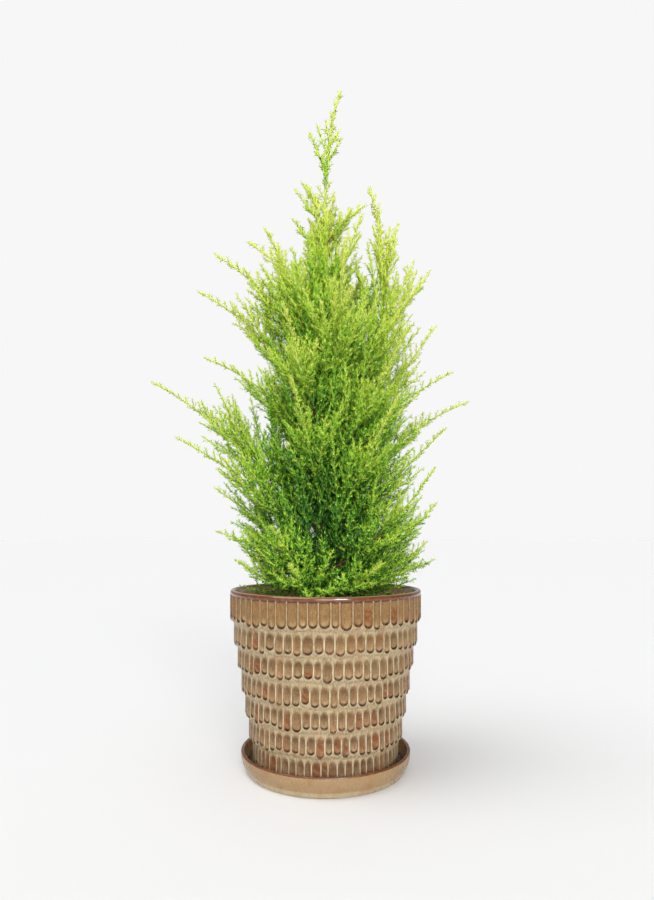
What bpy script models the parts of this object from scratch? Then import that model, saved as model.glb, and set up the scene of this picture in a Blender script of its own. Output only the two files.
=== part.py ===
"""A young golden Monterey cypress in a glazed pot that stands in its saucer.

Metres, +Z up. The origin is the middle of the saucer's flat underside, and the front is towards -Y.
The trunk carries named boughs, and each bough or fork of the trunk carries one mass of foliage: a stem
with side shoots, placed by one rule, that bear toothed sprays of needles.
"""

import collections
import math

import bmesh
import bpy
import numpy as np
from mathutils import Matrix, Vector
from mathutils.bvhtree import BVHTree

GAP = 0.0003
SMOOTH_ANGLE = math.radians(35)
UP = Vector((0, 0, 1))

# Pot: seven rows of upright flutes, each row set in behind the row above it
RIM_HEIGHT = 0.141
RIM_RADIUS = 0.075
LIP_HEIGHT = 0.0032
WALL = 0.0042
ROWS = 7
FIRST_ROW_DEPTH = 0.0215
ROW_DEPTH = 0.0182
TOP_ROW_RADIUS = 0.0748
ROW_SET_BACK = 0.0029
STEP_HEIGHT = 0.0036
# The wall of a row follows the floors of its flutes, which are cut deepest at the top
FLUTE_TOP_DEPTH = 0.0010
FLUTE_END_DEPTH = 0.0003
POT_SIDES = 40
POT_FLOOR = 0.0070
POT_EDGE = 0.0012
POT_CORNER = 0.004

# Saucer
SAUCER_RADIUS = 0.0665
SAUCER_FOOT_RADIUS = 0.0605
SAUCER_HEIGHT = 0.0165
SAUCER_FLOOR = 0.0050
SAUCER_WALL = 0.0027
SAUCER_EDGE = 0.0010
SAUCER_BEND_HEIGHT = 0.0074
SAUCER_SIDES = 36

# Soil, with a finger's breadth of water space below the rim
SOIL_TOP = 0.122
SOIL_SIDES = POT_SIDES // 2

# Trunk
TRUNK_TOP = 0.4550
TRUNK_FOOT_RADIUS = 0.0040
TRUNK_TOP_RADIUS = 0.0008
TRUNK_TAPER = 0.8
ROOT_FLARE = 0.0036
ROOT_FLARE_HEIGHT = 0.0065
ROOT_LOBES = 4
ROOT_LOBE_SHARE = 0.45
TRUNK_LEAN = 0.0055
TRUNK_LEAN_HEIGHT = 0.090
TRUNK_SWAY = 0.0016
TRUNK_RINGS = 14
TRUNK_SIDES = 8
# Above 1, the rings of faces crowd towards the flare at the foot
TRUNK_RING_CROWDING = 1.35

# The crown's outline, which the boughs made by rule follow
CROWN_WIDEST_HEIGHT = 0.275
CROWN_WIDEST = 0.100
CROWN_FOOT_HEIGHT = 0.150
CROWN_FOOT = 0.074
CROWN_DOME = 0.190
CROWN_DOME_END = 0.99

# Boughs and stems
LIMB_SHARE = 0.24
LIMB_LEAST = 0.0335
LIMB_POINTS = 4
LIMB_ROOT_RADIUS = 0.0016
LIMB_END_RADIUS = 0.0010
LIMB_TO_TRUNK = 0.7
LIMB_LEAST_TAPER = 0.8
STEM_PIECE = 0.026
STEM_RADIUS = 0.00095
STEM_TIP_RADIUS = 0.00040

# The rule for side shoots, measured back from the tip of a stem
SHOOT_TURN = math.radians(165.8)
SHOOT_SPACING = 0.0054
SHOOT_STRIDE = 3
SHOOT_FIRST = 0.026
SHOOT_RATIO = 0.60
SHOOT_MOST = 0.060
SHOOT_LENGTH_LEAST = 0.8
SHOOT_LENGTH_RANGE = 0.4
SHOOT_ROOT_CLEARANCE = 0.004
SHOOT_SPREAD = math.radians(38)
SHOOT_SPREAD_RANGE = math.radians(12)
SHOOT_LIFT = 0.30
TWIG_LEAST = 0.054
TWIG_RADIUS = 0.00070
TWIG_TIP_RADIUS = 0.00030
TWIG_SHARE = 0.7
SIDE_SPRAY_AT = 0.30
SIDE_SPRAY_SHARE = 0.55
TIP_SPRAY_AT = 0.30
SIDE_SPRAY_SPREAD = math.radians(36)

# A spray of needles: a slim three-cornered core with teeth, wider than a live one
SPRAY_TEETH = 4
SPRAY_LEAST = 0.014
SPRAY_REACH_SHARE = 0.30
SPRAY_REACH_LEAST = 0.0032
SPRAY_REACH_MOST = 0.0130
SPRAY_CORE_SHARE = 0.50
SPRAY_FIRST_TOOTH = 0.26
SPRAY_TOOTHED_SHARE = 0.56
SPRAY_SWELL_START = 0.20
SPRAY_SWELL_SPAN = 0.62
SPRAY_TOOTH_FORWARD = 0.08
SPRAY_TRIES = (1.0, 0.75, 0.55)
TIP_SPRAY = 0.038
TIP_SPRAY_MOST_SHARE = 0.5
TIP_SPRAY_OVERLAP = 0.9
TIP_SPRAY_ROLL = 0.4
SPACE_OVERREACH = 0.020
SPACE_SAMPLES = 13

Bough = collections.namedtuple("Bough", "name root turn out tip arch")

# Boughs that show as the crown's outline: height on the trunk, turn from +X towards the back in
# degrees, the tip's distance from the pot's axis, the tip's height, and how far the bough arches.
# With an arch above 0 it leaves the trunk steeply and flattens; below 0 it leaves low and sweeps up.
OUTLINE_BOUGHS = (
    Bough("left_1", 0.318, 158, 0.0700, 0.4280, 0.20),
    Bough("left_2", 0.290, 196, 0.0868, 0.3950, 0.22),
    Bough("left_3", 0.262, 172, 0.1050, 0.3820, 0.18),
    Bough("left_4", 0.226, 206, 0.0975, 0.3115, 0.26),
    Bough("left_5", 0.182, 180, 0.1385, 0.3050, 0.12),
    Bough("left_6", 0.166, 200, 0.1165, 0.2545, 0.11),
    Bough("left_7", 0.150, 160, 0.1010, 0.2240, 0.04),
    Bough("left_8", 0.138, 190, 0.0855, 0.1860, 0.12),
    Bough("second_leader", 0.236, 6, 0.0355, 0.4610, -0.24),
    Bough("right_1", 0.270, -30, 0.0835, 0.3690, 0.05),
    Bough("right_2", 0.222, 26, 0.1065, 0.3650, 0.00),
    Bough("right_3", 0.196, -14, 0.0990, 0.3060, 0.23),
    Bough("right_4", 0.172, 12, 0.1215, 0.2945, 0.20),
    Bough("right_5", 0.160, -22, 0.0960, 0.2620, 0.04),
    Bough("right_6", 0.152, -40, 0.0955, 0.2300, -0.14),
    Bough("right_7", 0.148, 14, 0.0900, 0.2110, -0.16),
    Bough("right_8", 0.139, 28, 0.0950, 0.1780, -0.16),
)
# Short boughs at the top, which are green from the trunk out
TOP_BOUGHS = (
    Bough("top_left", 0.424, 184, 0.0190, 0.4620, 0.10),
    Bough("top_right", 0.412, -10, 0.0325, 0.4420, 0.12),
    Bough("top_front", 0.386, 254, 0.0290, 0.4380, 0.08),
    Bough("top_back", 0.398, 92, 0.0280, 0.4480, 0.08),
    Bough("upper_front", 0.356, 318, 0.0370, 0.4250, 0.00),
)
# Low boughs that lie out over the pot's rim, green from the trunk out too, in even turns
LOW_BOUGHS = 7
LOW_ROOT = 0.1285
LOW_ROOT_STEP = 0.0022
LOW_FIRST_TURN = -6
LOW_OUT = 0.0745
LOW_OUT_SPREAD = 0.0060
LOW_TIP = 0.1540
LOW_TIP_SPREAD = 0.0140
LOW_ARCH = -0.10
# Boughs made by rule on the front and the back
FACE_BOUGHS = 7
FACE_LOWEST_ROOT = 0.141
FACE_ROOT_STEP = 0.0275
FACE_BACK_SHIFT = 0.012
FACE_RISE = 0.084
FACE_RISE_SPREAD = 0.024
FACE_LOWEST_RISE_SHARE = 0.55
FACE_OUT_LEAST = 0.88
FACE_OUT_RANGE = 0.10
FACE_SWING_LEAST = 10
FACE_SWING_RANGE = 32
FACE_ARCH_LEAST = -0.06
FACE_ARCH_RANGE = 0.20
LEADER_TIP = Vector((0.0114, 0.0, 0.5345))
LEADER_BEND_AT = 0.5

BARK = ("bark", (0.23, 0.12, 0.06), 0.85, 0.0)
GLAZE = ("tan_glaze", (0.40, 0.27, 0.16), 0.25, 0.0)
EARTH = ("potting_soil", (0.05, 0.03, 0.02), 0.95, 0.0)
FOLIAGE = ("golden_needles", (0.36, 0.52, 0.06), 0.6, 0.0)


def chance(*keys):
    """A number from 0 to 1 that depends on the keys alone."""
    weights = (12.9898, 78.233, 37.719, 4.581)
    wave = math.sin(sum(key * weight for key, weight in zip(keys, weights)) + 1.7) * 43758.5453
    return wave - math.floor(wave)


def clear_scene():
    for thing in list(bpy.data.objects):
        bpy.data.objects.remove(thing, do_unlink=True)


def material(finish):
    name, colour, roughness, metallic = finish
    made = bpy.data.materials.get(name)
    if made is None:
        made = bpy.data.materials.new(name)
        made.use_nodes = True
        shader = made.node_tree.nodes["Principled BSDF"]
        shader.inputs["Base Color"].default_value = (*colour, 1.0)
        shader.inputs["Roughness"].default_value = roughness
        shader.inputs["Metallic"].default_value = metallic
    return made


def node_object(name, mesh, finish, collection):
    mesh.shade_smooth()
    mesh.set_sharp_from_angle(angle=SMOOTH_ANGLE)
    made = bpy.data.objects.new(name, mesh)
    mesh.materials.clear()
    mesh.materials.append(material(finish))
    collection.objects.link(made)
    return made


def applied(thing):
    """The mesh of an object as the viewport evaluates it, in world space."""
    graph = bpy.context.evaluated_depsgraph_get()
    mesh = bpy.data.meshes.new_from_object(thing.evaluated_get(graph))
    mesh.transform(thing.matrix_world)
    return mesh


def weld_caps(mesh):
    """Joins the caps of a bevelled curve to its sides."""
    shape = bmesh.new()
    shape.from_mesh(mesh)
    bmesh.ops.remove_doubles(shape, verts=shape.verts, dist=1e-6)
    shape.to_mesh(mesh)
    shape.free()


def turned_mesh(name, profile, sides):
    """A profile of (radius, height) points turned about the axis, from the axis round the outside."""
    mesh = bpy.data.meshes.new(name)
    edges = [(i, i + 1) for i in range(len(profile) - 1)]
    mesh.from_pydata([(radius, 0, height) for radius, height in profile], edges, [])
    blank = bpy.data.objects.new(name + "_profile", mesh)
    bpy.context.scene.collection.objects.link(blank)
    screw = blank.modifiers.new("turn", "SCREW")
    screw.axis = "Z"
    screw.angle = math.tau
    screw.steps = screw.render_steps = sides
    screw.use_merge_vertices = True
    screw.merge_threshold = 1e-5
    made = applied(blank)
    bpy.data.objects.remove(blank, do_unlink=True)
    return made


def row_end(row):
    """The height of the lower ends of a row's flutes."""
    return RIM_HEIGHT - FIRST_ROW_DEPTH - ROW_DEPTH * row


def row_radius(row):
    return TOP_ROW_RADIUS - ROW_SET_BACK * row


def inner_radius(height):
    """The inside of the pot's wall."""
    share = (height - POT_FLOOR) / (RIM_HEIGHT - POT_FLOOR)
    foot = row_radius(ROWS - 1) - WALL
    return foot + (RIM_RADIUS - WALL - foot) * share


def pot_profile():
    foot = SAUCER_FLOOR + GAP
    floor = foot + POT_FLOOR
    lip = RIM_HEIGHT - LIP_HEIGHT
    inside = [
        (0, floor),
        (inner_radius(floor) - POT_CORNER, floor),
        (inner_radius(floor), floor + POT_CORNER),
    ]
    rim = [
        (inner_radius(RIM_HEIGHT), RIM_HEIGHT - POT_EDGE),
        (inner_radius(RIM_HEIGHT) + POT_EDGE, RIM_HEIGHT),
        (RIM_RADIUS - POT_EDGE, RIM_HEIGHT),
        (RIM_RADIUS, RIM_HEIGHT - POT_EDGE),
        (TOP_ROW_RADIUS, lip),
    ]
    outside = []
    for row in range(ROWS):
        outside.append((row_radius(row) - FLUTE_END_DEPTH, row_end(row)))
        outside.append((row_radius(row + 1) - FLUTE_TOP_DEPTH, row_end(row) - STEP_HEIGHT))
    base_radius = row_radius(ROWS) - FLUTE_TOP_DEPTH
    base = [(base_radius, foot + POT_EDGE), (base_radius - POT_EDGE, foot), (0, foot)]
    return inside + rim + outside + base


def make_pot(collection):
    return node_object("pot", turned_mesh("pot", pot_profile(), POT_SIDES), GLAZE, collection)


def make_saucer(collection):
    inner = SAUCER_RADIUS - SAUCER_WALL
    profile = [
        (0, SAUCER_FLOOR),
        (SAUCER_FOOT_RADIUS - 2 * SAUCER_EDGE, SAUCER_FLOOR),
        (SAUCER_FOOT_RADIUS + SAUCER_EDGE, SAUCER_FLOOR + 3 * SAUCER_EDGE),
        (inner, SAUCER_HEIGHT - SAUCER_EDGE),
        (inner + SAUCER_EDGE, SAUCER_HEIGHT),
        (SAUCER_RADIUS - SAUCER_EDGE, SAUCER_HEIGHT),
        (SAUCER_RADIUS, SAUCER_HEIGHT - SAUCER_EDGE),
        (SAUCER_RADIUS - SAUCER_EDGE, SAUCER_BEND_HEIGHT),
        (SAUCER_FOOT_RADIUS + 2 * SAUCER_EDGE, 2 * SAUCER_EDGE),
        (SAUCER_FOOT_RADIUS, 0),
        (0, 0),
    ]
    return node_object("saucer", turned_mesh("saucer", profile, SAUCER_SIDES), GLAZE, collection)


def make_soil(collection):
    floor = SAUCER_FLOOR + GAP + POT_FLOOR + GAP
    corner = POT_CORNER + 2 * POT_EDGE
    profile = [
        (0, SOIL_TOP),
        (inner_radius(SOIL_TOP) - 2 * GAP, SOIL_TOP),
        (inner_radius(floor + corner) - 2 * GAP, floor + corner),
        (inner_radius(floor) - corner, floor),
        (0, floor),
    ]
    return node_object("soil", turned_mesh("soil", profile, SOIL_SIDES), EARTH, collection)


def trunk_point(height):
    """The trunk's axis, which leans in from its foot and sways a little from front to back."""
    lean = TRUNK_LEAN * math.exp(-(height - SOIL_TOP) / TRUNK_LEAN_HEIGHT)
    sway = TRUNK_SWAY * math.sin((height - SOIL_TOP) / (TRUNK_TOP - SOIL_TOP) * math.tau)
    return Vector((-lean, sway, height))


def trunk_radius(height):
    share = max(height - SOIL_TOP, 0) / (TRUNK_TOP - SOIL_TOP)
    return TRUNK_FOOT_RADIUS + (TRUNK_TOP_RADIUS - TRUNK_FOOT_RADIUS) * share**TRUNK_TAPER


def root_flare(height):
    return ROOT_FLARE * math.exp(-max(height - SOIL_TOP, 0) / ROOT_FLARE_HEIGHT)


def trunk_mesh(name, grown):
    """A tapering round stem with a lobed root flare, grown outwards by a margin."""
    shape = bmesh.new()
    bmesh.ops.create_cone(shape, cap_ends=True, segments=TRUNK_SIDES, radius1=1, radius2=1, depth=1)
    foot = SOIL_TOP + GAP - grown
    top = TRUNK_TOP + grown
    uprights = [edge for edge in shape.edges if abs(edge.verts[0].co.z - edge.verts[1].co.z) > 0.5]
    bmesh.ops.subdivide_edges(shape, edges=uprights, cuts=TRUNK_RINGS - 1, use_grid_fill=True)
    for vertex in shape.verts:
        share = vertex.co.z + 0.5
        height = foot + (top - foot) * share**TRUNK_RING_CROWDING
        angle = math.atan2(vertex.co.y, vertex.co.x)
        lobes = 1 + ROOT_LOBE_SHARE * math.cos(ROOT_LOBES * angle)
        radius = trunk_radius(min(height, TRUNK_TOP)) + root_flare(height) * lobes + grown
        axis = trunk_point(height)
        vertex.co = (
            axis.x + radius * math.cos(angle),
            axis.y + radius * math.sin(angle),
            height,
        )
    mesh = bpy.data.meshes.new(name)
    shape.to_mesh(mesh)
    shape.free()
    return mesh


def crown_radius(height):
    """How far the crown reaches from the pot's axis at a height."""
    if height < CROWN_WIDEST_HEIGHT:
        share = (height - CROWN_FOOT_HEIGHT) / (CROWN_WIDEST_HEIGHT - CROWN_FOOT_HEIGHT)
        return CROWN_FOOT + (CROWN_WIDEST - CROWN_FOOT) * max(share, 0)
    rise = min((height - CROWN_WIDEST_HEIGHT) / CROWN_DOME, CROWN_DOME_END)
    return CROWN_WIDEST * math.sqrt(1 - rise * rise)


def face_boughs():
    """Boughs that fill the front and the back, on a rule of even steps up the trunk."""
    made = []
    for face, middle in (("front", 270), ("back", 90)):
        for step in range(FACE_BOUGHS):
            number = FACE_BOUGHS - step
            seed = 3 + step + (11 if face == "back" else 0)
            shift = FACE_BACK_SHIFT if face == "back" else 0.0
            root = FACE_LOWEST_ROOT + FACE_ROOT_STEP * step + shift
            rise = FACE_RISE + FACE_RISE_SPREAD * chance(seed, 1)
            if step == 0:
                rise *= FACE_LOWEST_RISE_SHARE
            swing = (FACE_SWING_LEAST + FACE_SWING_RANGE * chance(seed, 2)) * (1 if step % 2 else -1)
            tip = root + rise
            out = crown_radius(tip) * (FACE_OUT_LEAST + FACE_OUT_RANGE * chance(seed, 3))
            arch = FACE_ARCH_LEAST + FACE_ARCH_RANGE * chance(seed, 4)
            made.append(Bough(f"{face}_{number}", root, middle + swing, out, tip, arch))
    return made


def low_boughs():
    """The lowest boughs, all round the trunk."""
    made = []
    for number in range(LOW_BOUGHS):
        turn = LOW_FIRST_TURN + 360 / LOW_BOUGHS * number
        root = LOW_ROOT + LOW_ROOT_STEP * (number * 3 % LOW_BOUGHS) / 2
        out = LOW_OUT + LOW_OUT_SPREAD * (chance(number, 11) - 0.5)
        tip = LOW_TIP + LOW_TIP_SPREAD * chance(number, 12)
        made.append(Bough(f"low_{number + 1}", root, turn, out, tip, LOW_ARCH))
    return made


def bough_curve(bough):
    """The root, middle and tip of the smooth curve that a bough follows from the trunk's axis."""
    root = trunk_point(bough.root)
    turn = math.radians(bough.turn)
    tip = Vector((bough.out * math.cos(turn), bough.out * math.sin(turn), bough.tip))
    return arched(root, tip, bough.arch)


def arched(root, tip, arch):
    chord = tip - root
    along = chord.normalized()
    above = (UP - along * UP.dot(along)).normalized()
    return root, (root + tip) / 2 + above * arch * chord.length, tip


def leader_curve():
    """The leading shoot, which goes on from the trunk's top and leans over."""
    root = trunk_point(TRUNK_TOP) + UP * GAP
    bend = Vector((root.x, root.y, root.z + (LEADER_TIP.z - root.z) * LEADER_BEND_AT))
    return root, bend, LEADER_TIP


def on_curve(curve, share):
    root, middle, tip = curve
    near, far = root.lerp(middle, share), middle.lerp(tip, share)
    return near.lerp(far, share)


def curve_direction(curve, share):
    root, middle, tip = curve
    return ((middle - root).lerp(tip - middle, share)).normalized()


def curve_length(curve, steps=24):
    points = [on_curve(curve, i / steps) for i in range(steps + 1)]
    return sum((b - a).length for a, b in zip(points, points[1:]))


def share_at(curve, distance, steps=96):
    """The share of the curve that lies at a distance from its root."""
    gone, before = 0.0, on_curve(curve, 0)
    for i in range(1, steps + 1):
        point = on_curve(curve, i / steps)
        piece = (point - before).length
        if gone + piece >= distance:
            return (i - 1 + (distance - gone) / piece) / steps
        gone, before = gone + piece, point
    return 1.0


def round_bar(name, points, radii, resolution, collection):
    """A tapering bar along points, as a bevelled curve with filled caps, made a mesh."""
    line = bpy.data.curves.new(name, "CURVE")
    line.dimensions = "3D"
    line.bevel_depth = 1.0
    line.bevel_resolution = resolution
    line.use_fill_caps = True
    spline = line.splines.new("POLY")
    spline.points.add(len(points) - 1)
    for knot, point, radius in zip(spline.points, points, radii):
        knot.co = (*point, 1)
        knot.radius = radius
    bar = bpy.data.objects.new(name + "_line", line)
    bpy.context.scene.collection.objects.link(bar)
    bpy.context.view_layer.update()
    mesh = applied(bar)
    weld_caps(mesh)
    bpy.data.objects.remove(bar, do_unlink=True)
    made = bpy.data.objects.new(name, mesh)
    collection.objects.link(made)
    return made


def tapered(count, first, last):
    return [first + (last - first) * i / (count - 1) for i in range(count)]


def tree_of(mesh):
    return BVHTree.FromPolygons([v.co.copy() for v in mesh.vertices], [tuple(p.vertices) for p in mesh.polygons])


def clear_of_trunk(curve):
    """How far along a curve a stem must start to stand clear of the trunk."""
    whole = curve_length(curve)
    for step in range(200):
        point = on_curve(curve, step / 200)
        away = Vector((point - trunk_point(point.z)).xy).length
        flare = root_flare(point.z) * (1 + ROOT_LOBE_SHARE)
        if away > trunk_radius(min(point.z, TRUNK_TOP)) + flare + STEM_RADIUS + GAP:
            return whole * step / 200
    raise ValueError("a stem never leaves the trunk")


def make_limb(bough, curve, limb_length, cutter, collection):
    """The woody part of a bough, cut clear of the trunk by the gap."""
    last = share_at(curve, limb_length)
    points = [on_curve(curve, last * i / (LIMB_POINTS - 1)) for i in range(LIMB_POINTS)]
    root_radius = min(LIMB_ROOT_RADIUS, trunk_radius(bough.root) * LIMB_TO_TRUNK)
    radii = tapered(LIMB_POINTS, root_radius, min(LIMB_END_RADIUS, root_radius * LIMB_LEAST_TAPER))
    made = round_bar("bough_" + bough.name, points, radii, 1, collection)
    cut = made.modifiers.new("clear_of_trunk", "BOOLEAN")
    cut.operation = "DIFFERENCE"
    cut.solver = "EXACT"
    cut.object = cutter
    mesh = applied(made)
    bpy.data.objects.remove(made, do_unlink=True)
    return node_object("bough_" + bough.name, mesh, BARK, collection)


def spray_mesh(length):
    """A plume of needles along +Z: three-cornered rings, whose corners stand out in turn, between points."""
    reach = min(max(length * SPRAY_REACH_SHARE, SPRAY_REACH_LEAST), SPRAY_REACH_MOST)
    points, faces = [(0, 0, 0)], []
    for ring in range(SPRAY_TEETH):
        share = ring / (SPRAY_TEETH - 1)
        wide = reach * math.sin(math.pi * (SPRAY_SWELL_START + SPRAY_SWELL_SPAN * share))
        for corner in range(3):
            out = corner == ring % 3
            radius = wide if out else wide * SPRAY_CORE_SHARE
            forward = SPRAY_TOOTH_FORWARD if out else 0
            height = (SPRAY_FIRST_TOOTH + SPRAY_TOOTHED_SHARE * share + forward) * length
            angle = math.tau * corner / 3
            points.append((radius * math.cos(angle), radius * math.sin(angle), height))
            near, far = ring * 3 + corner - 2, ring * 3 + (corner + 1) % 3 - 2
            if ring == 0:
                faces.append((0, far + 3, near + 3))
            else:
                faces += [(near, far, far + 3), (near, far + 3, near + 3)]
    last, tip = len(points) - 3, len(points)
    points.append((0, 0, length))
    faces += [(last + corner, last + (corner + 1) % 3, tip) for corner in range(3)]
    mesh = bpy.data.meshes.new("spray")
    mesh.from_pydata(points, [], faces)
    return mesh


def facing(direction, roll):
    """A turn that takes +Z to a direction, with the flat of a blade rolled about it."""
    return direction.to_track_quat("Z", "Y").to_matrix().to_4x4() @ Matrix.Rotation(roll, 4, "Z")


def side_direction(along, angle, spread, lift):
    """A direction that leaves another at a spread, round it by an angle, and turns up."""
    across = along.orthogonal().normalized()
    level = along.cross(UP)
    if level.length > 0.05:
        across = level.normalized()
    other = along.cross(across).normalized()
    aside = across * math.cos(angle) + other * math.sin(angle)
    return (along * math.cos(spread) + aside * math.sin(spread) + UP * lift).normalized()


def shoot_vigour(seed, step):
    return SHOOT_LENGTH_LEAST + SHOOT_LENGTH_RANGE * chance(seed, step, 7)


def shoots_on(seed, curve, green):
    """The side shoots of a stem: (root, direction, length), by steps back from the stem's tip."""
    whole = curve_length(curve)
    made = []
    for step in range(0, int((green - SHOOT_FIRST) / SHOOT_SPACING) + 1, SHOOT_STRIDE):
        back = SHOOT_FIRST + SHOOT_SPACING * step
        share = share_at(curve, whole - back)
        angle = SHOOT_TURN * step + math.tau * chance(seed, 5)
        spread = SHOOT_SPREAD + SHOOT_SPREAD_RANGE * (chance(seed, step, 6) - 0.5)
        length = min(back * SHOOT_RATIO, SHOOT_MOST) * shoot_vigour(seed, step)
        direction = side_direction(curve_direction(curve, share), angle, spread, SHOOT_LIFT)
        made.append((step, on_curve(curve, share), direction, length))
    return made


class Stem:
    """The central stem of a mass: the green end of a curve, as a tapering bar."""

    def __init__(self, name, seed, curve, green, collection):
        self.name, self.seed, self.curve, self.green = name, seed, curve, green
        self.whole = curve_length(curve)
        count = max(round(green / STEM_PIECE), 2) + 1
        backs = [green - green * i / (count - 1) for i in range(count)]
        self.points = [self.at(back) for back in backs]
        radii = tapered(count, STEM_RADIUS, STEM_TIP_RADIUS)
        self.bar = round_bar(name, self.points, radii, 0, collection)
        self.tree = tree_of(self.bar.data)

    def at(self, back):
        """The point of the curve at a distance back from its tip."""
        return on_curve(self.curve, share_at(self.curve, self.whole - back))

    def nearest(self, spot):
        """The nearest point to a spot on the bar's centre line."""
        found = []
        for near, far in zip(self.points, self.points[1:]):
            share = (spot - near).dot(far - near) / (far - near).length_squared
            found.append(near.lerp(far, min(max(share, 0), 1)))
        return min(found, key=lambda point: (point - spot).length)


class Space:
    """Keeps each mass to the points near its own stem, clear of the others and of the hard pieces."""

    def __init__(self, stems, hard):
        shares = [i / (SPACE_SAMPLES - 1) for i in range(SPACE_SAMPLES)]
        self.points = np.array([stem.at(stem.green * share) for stem in stems for share in shares])
        self.owners = np.repeat([stem.seed for stem in stems], SPACE_SAMPLES)
        self.hard = hard
        self.taken = [(stem.seed, stem.tree) for stem in stems]

    def allows(self, seed, mesh, matrix):
        points = [matrix @ vertex.co for vertex in mesh.vertices]
        away = np.linalg.norm(np.array(points)[:, None] - self.points[None], axis=2)
        own = away[:, self.owners == seed].min(axis=1)
        others = away[:, self.owners != seed].min(axis=1)
        tree = BVHTree.FromPolygons(points, [tuple(p.vertices) for p in mesh.polygons])
        if (own > others + SPACE_OVERREACH).any():
            return False
        if any(tree.overlap(hard) for hard in self.hard):
            return False
        if any(taker != seed and tree.overlap(other) for taker, other in self.taken):
            return False
        self.taken.append((seed, tree))
        return True


def twig_mesh(length):
    """A three-sided tapering twig along +Z from the origin."""
    shape = bmesh.new()
    bmesh.ops.create_cone(
        shape, cap_ends=True, segments=3, radius1=TWIG_RADIUS, radius2=TWIG_TIP_RADIUS, depth=length
    )
    bmesh.ops.translate(shape, verts=shape.verts, vec=(0, 0, length / 2))
    mesh = bpy.data.meshes.new("twig")
    shape.to_mesh(mesh)
    shape.free()
    return mesh


def lay_spray(seed, root, direction, roll, length, space, pieces):
    """A spray, made shorter until it keeps to the space, or else left out."""
    for share in SPRAY_TRIES:
        mesh = spray_mesh(max(length * share, SPRAY_LEAST))
        matrix = Matrix.Translation(root) @ facing(direction, roll)
        if space.allows(seed, mesh, matrix):
            mesh.transform(matrix)
            pieces.append(mesh)
            return


def lay_shoot(seed, step, root, direction, length, space, pieces):
    """One side shoot: a spray, or a twig with a spray from its side and one at its tip."""
    roll = math.tau * chance(seed, step, 8)
    twig = twig_mesh(length * TWIG_SHARE)
    matrix = Matrix.Translation(root) @ facing(direction, roll)
    if length < TWIG_LEAST or not space.allows(seed, twig, matrix):
        lay_spray(seed, root, direction, roll, length, space, pieces)
        return
    twig.transform(matrix)
    pieces.append(twig)
    fork = root + direction * length * TIP_SPRAY_AT
    lay_spray(seed, fork, direction, roll, length * (1 - TIP_SPRAY_AT), space, pieces)
    fork = root + direction * length * SIDE_SPRAY_AT
    towards = side_direction(direction, roll, SIDE_SPRAY_SPREAD, SHOOT_LIFT)
    lay_spray(seed, fork, towards, roll, length * SIDE_SPRAY_SHARE, space, pieces)


def make_mass(stem, space, collection):
    """A stem, its side shoots and the spray at its tip, joined into one solid."""
    pieces = []
    tip = min(TIP_SPRAY, stem.green * TIP_SPRAY_MOST_SHARE)
    root = stem.nearest(stem.at(tip * TIP_SPRAY_OVERLAP))
    onward = (stem.at(0) - root).normalized()
    lay_spray(stem.seed, root, onward, TIP_SPRAY_ROLL, tip, space, pieces)
    for step, spot, direction, length in shoots_on(stem.seed, stem.curve, stem.green - SHOOT_ROOT_CLEARANCE):
        lay_shoot(stem.seed, step, stem.nearest(spot), direction, length, space, pieces)
    group = bpy.data.collections.new(stem.name + "_sprays")
    bpy.context.scene.collection.children.link(group)
    for mesh in pieces:
        group.objects.link(bpy.data.objects.new("spray", mesh))
    joined = stem.bar.modifiers.new("join", "BOOLEAN")
    joined.operation = "UNION"
    joined.operand_type = "COLLECTION"
    joined.solver = "MANIFOLD"
    joined.collection = group
    bpy.context.view_layer.update()
    mesh = applied(stem.bar)
    for thing in [stem.bar, *group.objects]:
        bpy.data.objects.remove(thing, do_unlink=True)
    bpy.data.collections.remove(group)
    return node_object(stem.name, mesh, FOLIAGE, collection)


def make_tree(collection, hard_pieces):
    node_object("trunk", trunk_mesh("trunk", 0.0), BARK, collection)
    cutters = bpy.data.collections.new("cutters")
    bpy.context.scene.collection.children.link(cutters)
    cutter = bpy.data.objects.new("trunk_clearance", trunk_mesh("trunk_clearance", GAP))
    cutter.hide_render = True
    cutter.display_type = "WIRE"
    cutters.objects.link(cutter)

    limbs, stems = [], []
    for seed, bough in enumerate([*OUTLINE_BOUGHS, *face_boughs(), *low_boughs(), *TOP_BOUGHS]):
        curve = bough_curve(bough)
        whole = curve_length(curve)
        limb = whole * LIMB_SHARE
        if limb >= LIMB_LEAST:
            limbs.append(make_limb(bough, curve, limb, cutter, collection))
            green = whole - limb - GAP
        else:
            green = whole - clear_of_trunk(curve)
        stems.append(Stem("foliage_" + bough.name, seed, curve, green, collection))
    leader = leader_curve()
    stems.append(Stem("foliage_leader", len(stems), leader, curve_length(leader), collection))
    hard = [tree_of(piece.data) for piece in (cutter, *limbs, *hard_pieces)]
    space = Space(stems, hard)
    for stem in stems:
        make_mass(stem, space, collection)


def main():
    clear_scene()
    collection = bpy.data.collections.new("potted_cypress")
    bpy.context.scene.collection.children.link(collection)
    pot = make_pot(collection)
    make_saucer(collection)
    soil = make_soil(collection)
    make_tree(collection, [pot, soil])


main()
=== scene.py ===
"""Looks for a young golden Monterey cypress in a glazed pot: a Blender add-on with one operator a piece.

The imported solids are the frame. The pot, saucer, soil, trunk and boughs are replaced by finer ones of
the same sizes, and each mass of foliage by shoots and needles that grow on from its bough by the rule
of the solids' source, carried on to finer twigs. Metres, +Z up, and the front is towards -Y.
"""

import collections
import math

import bmesh
import bpy
import numpy as np
from mathutils import Matrix, Vector, noise


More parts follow.
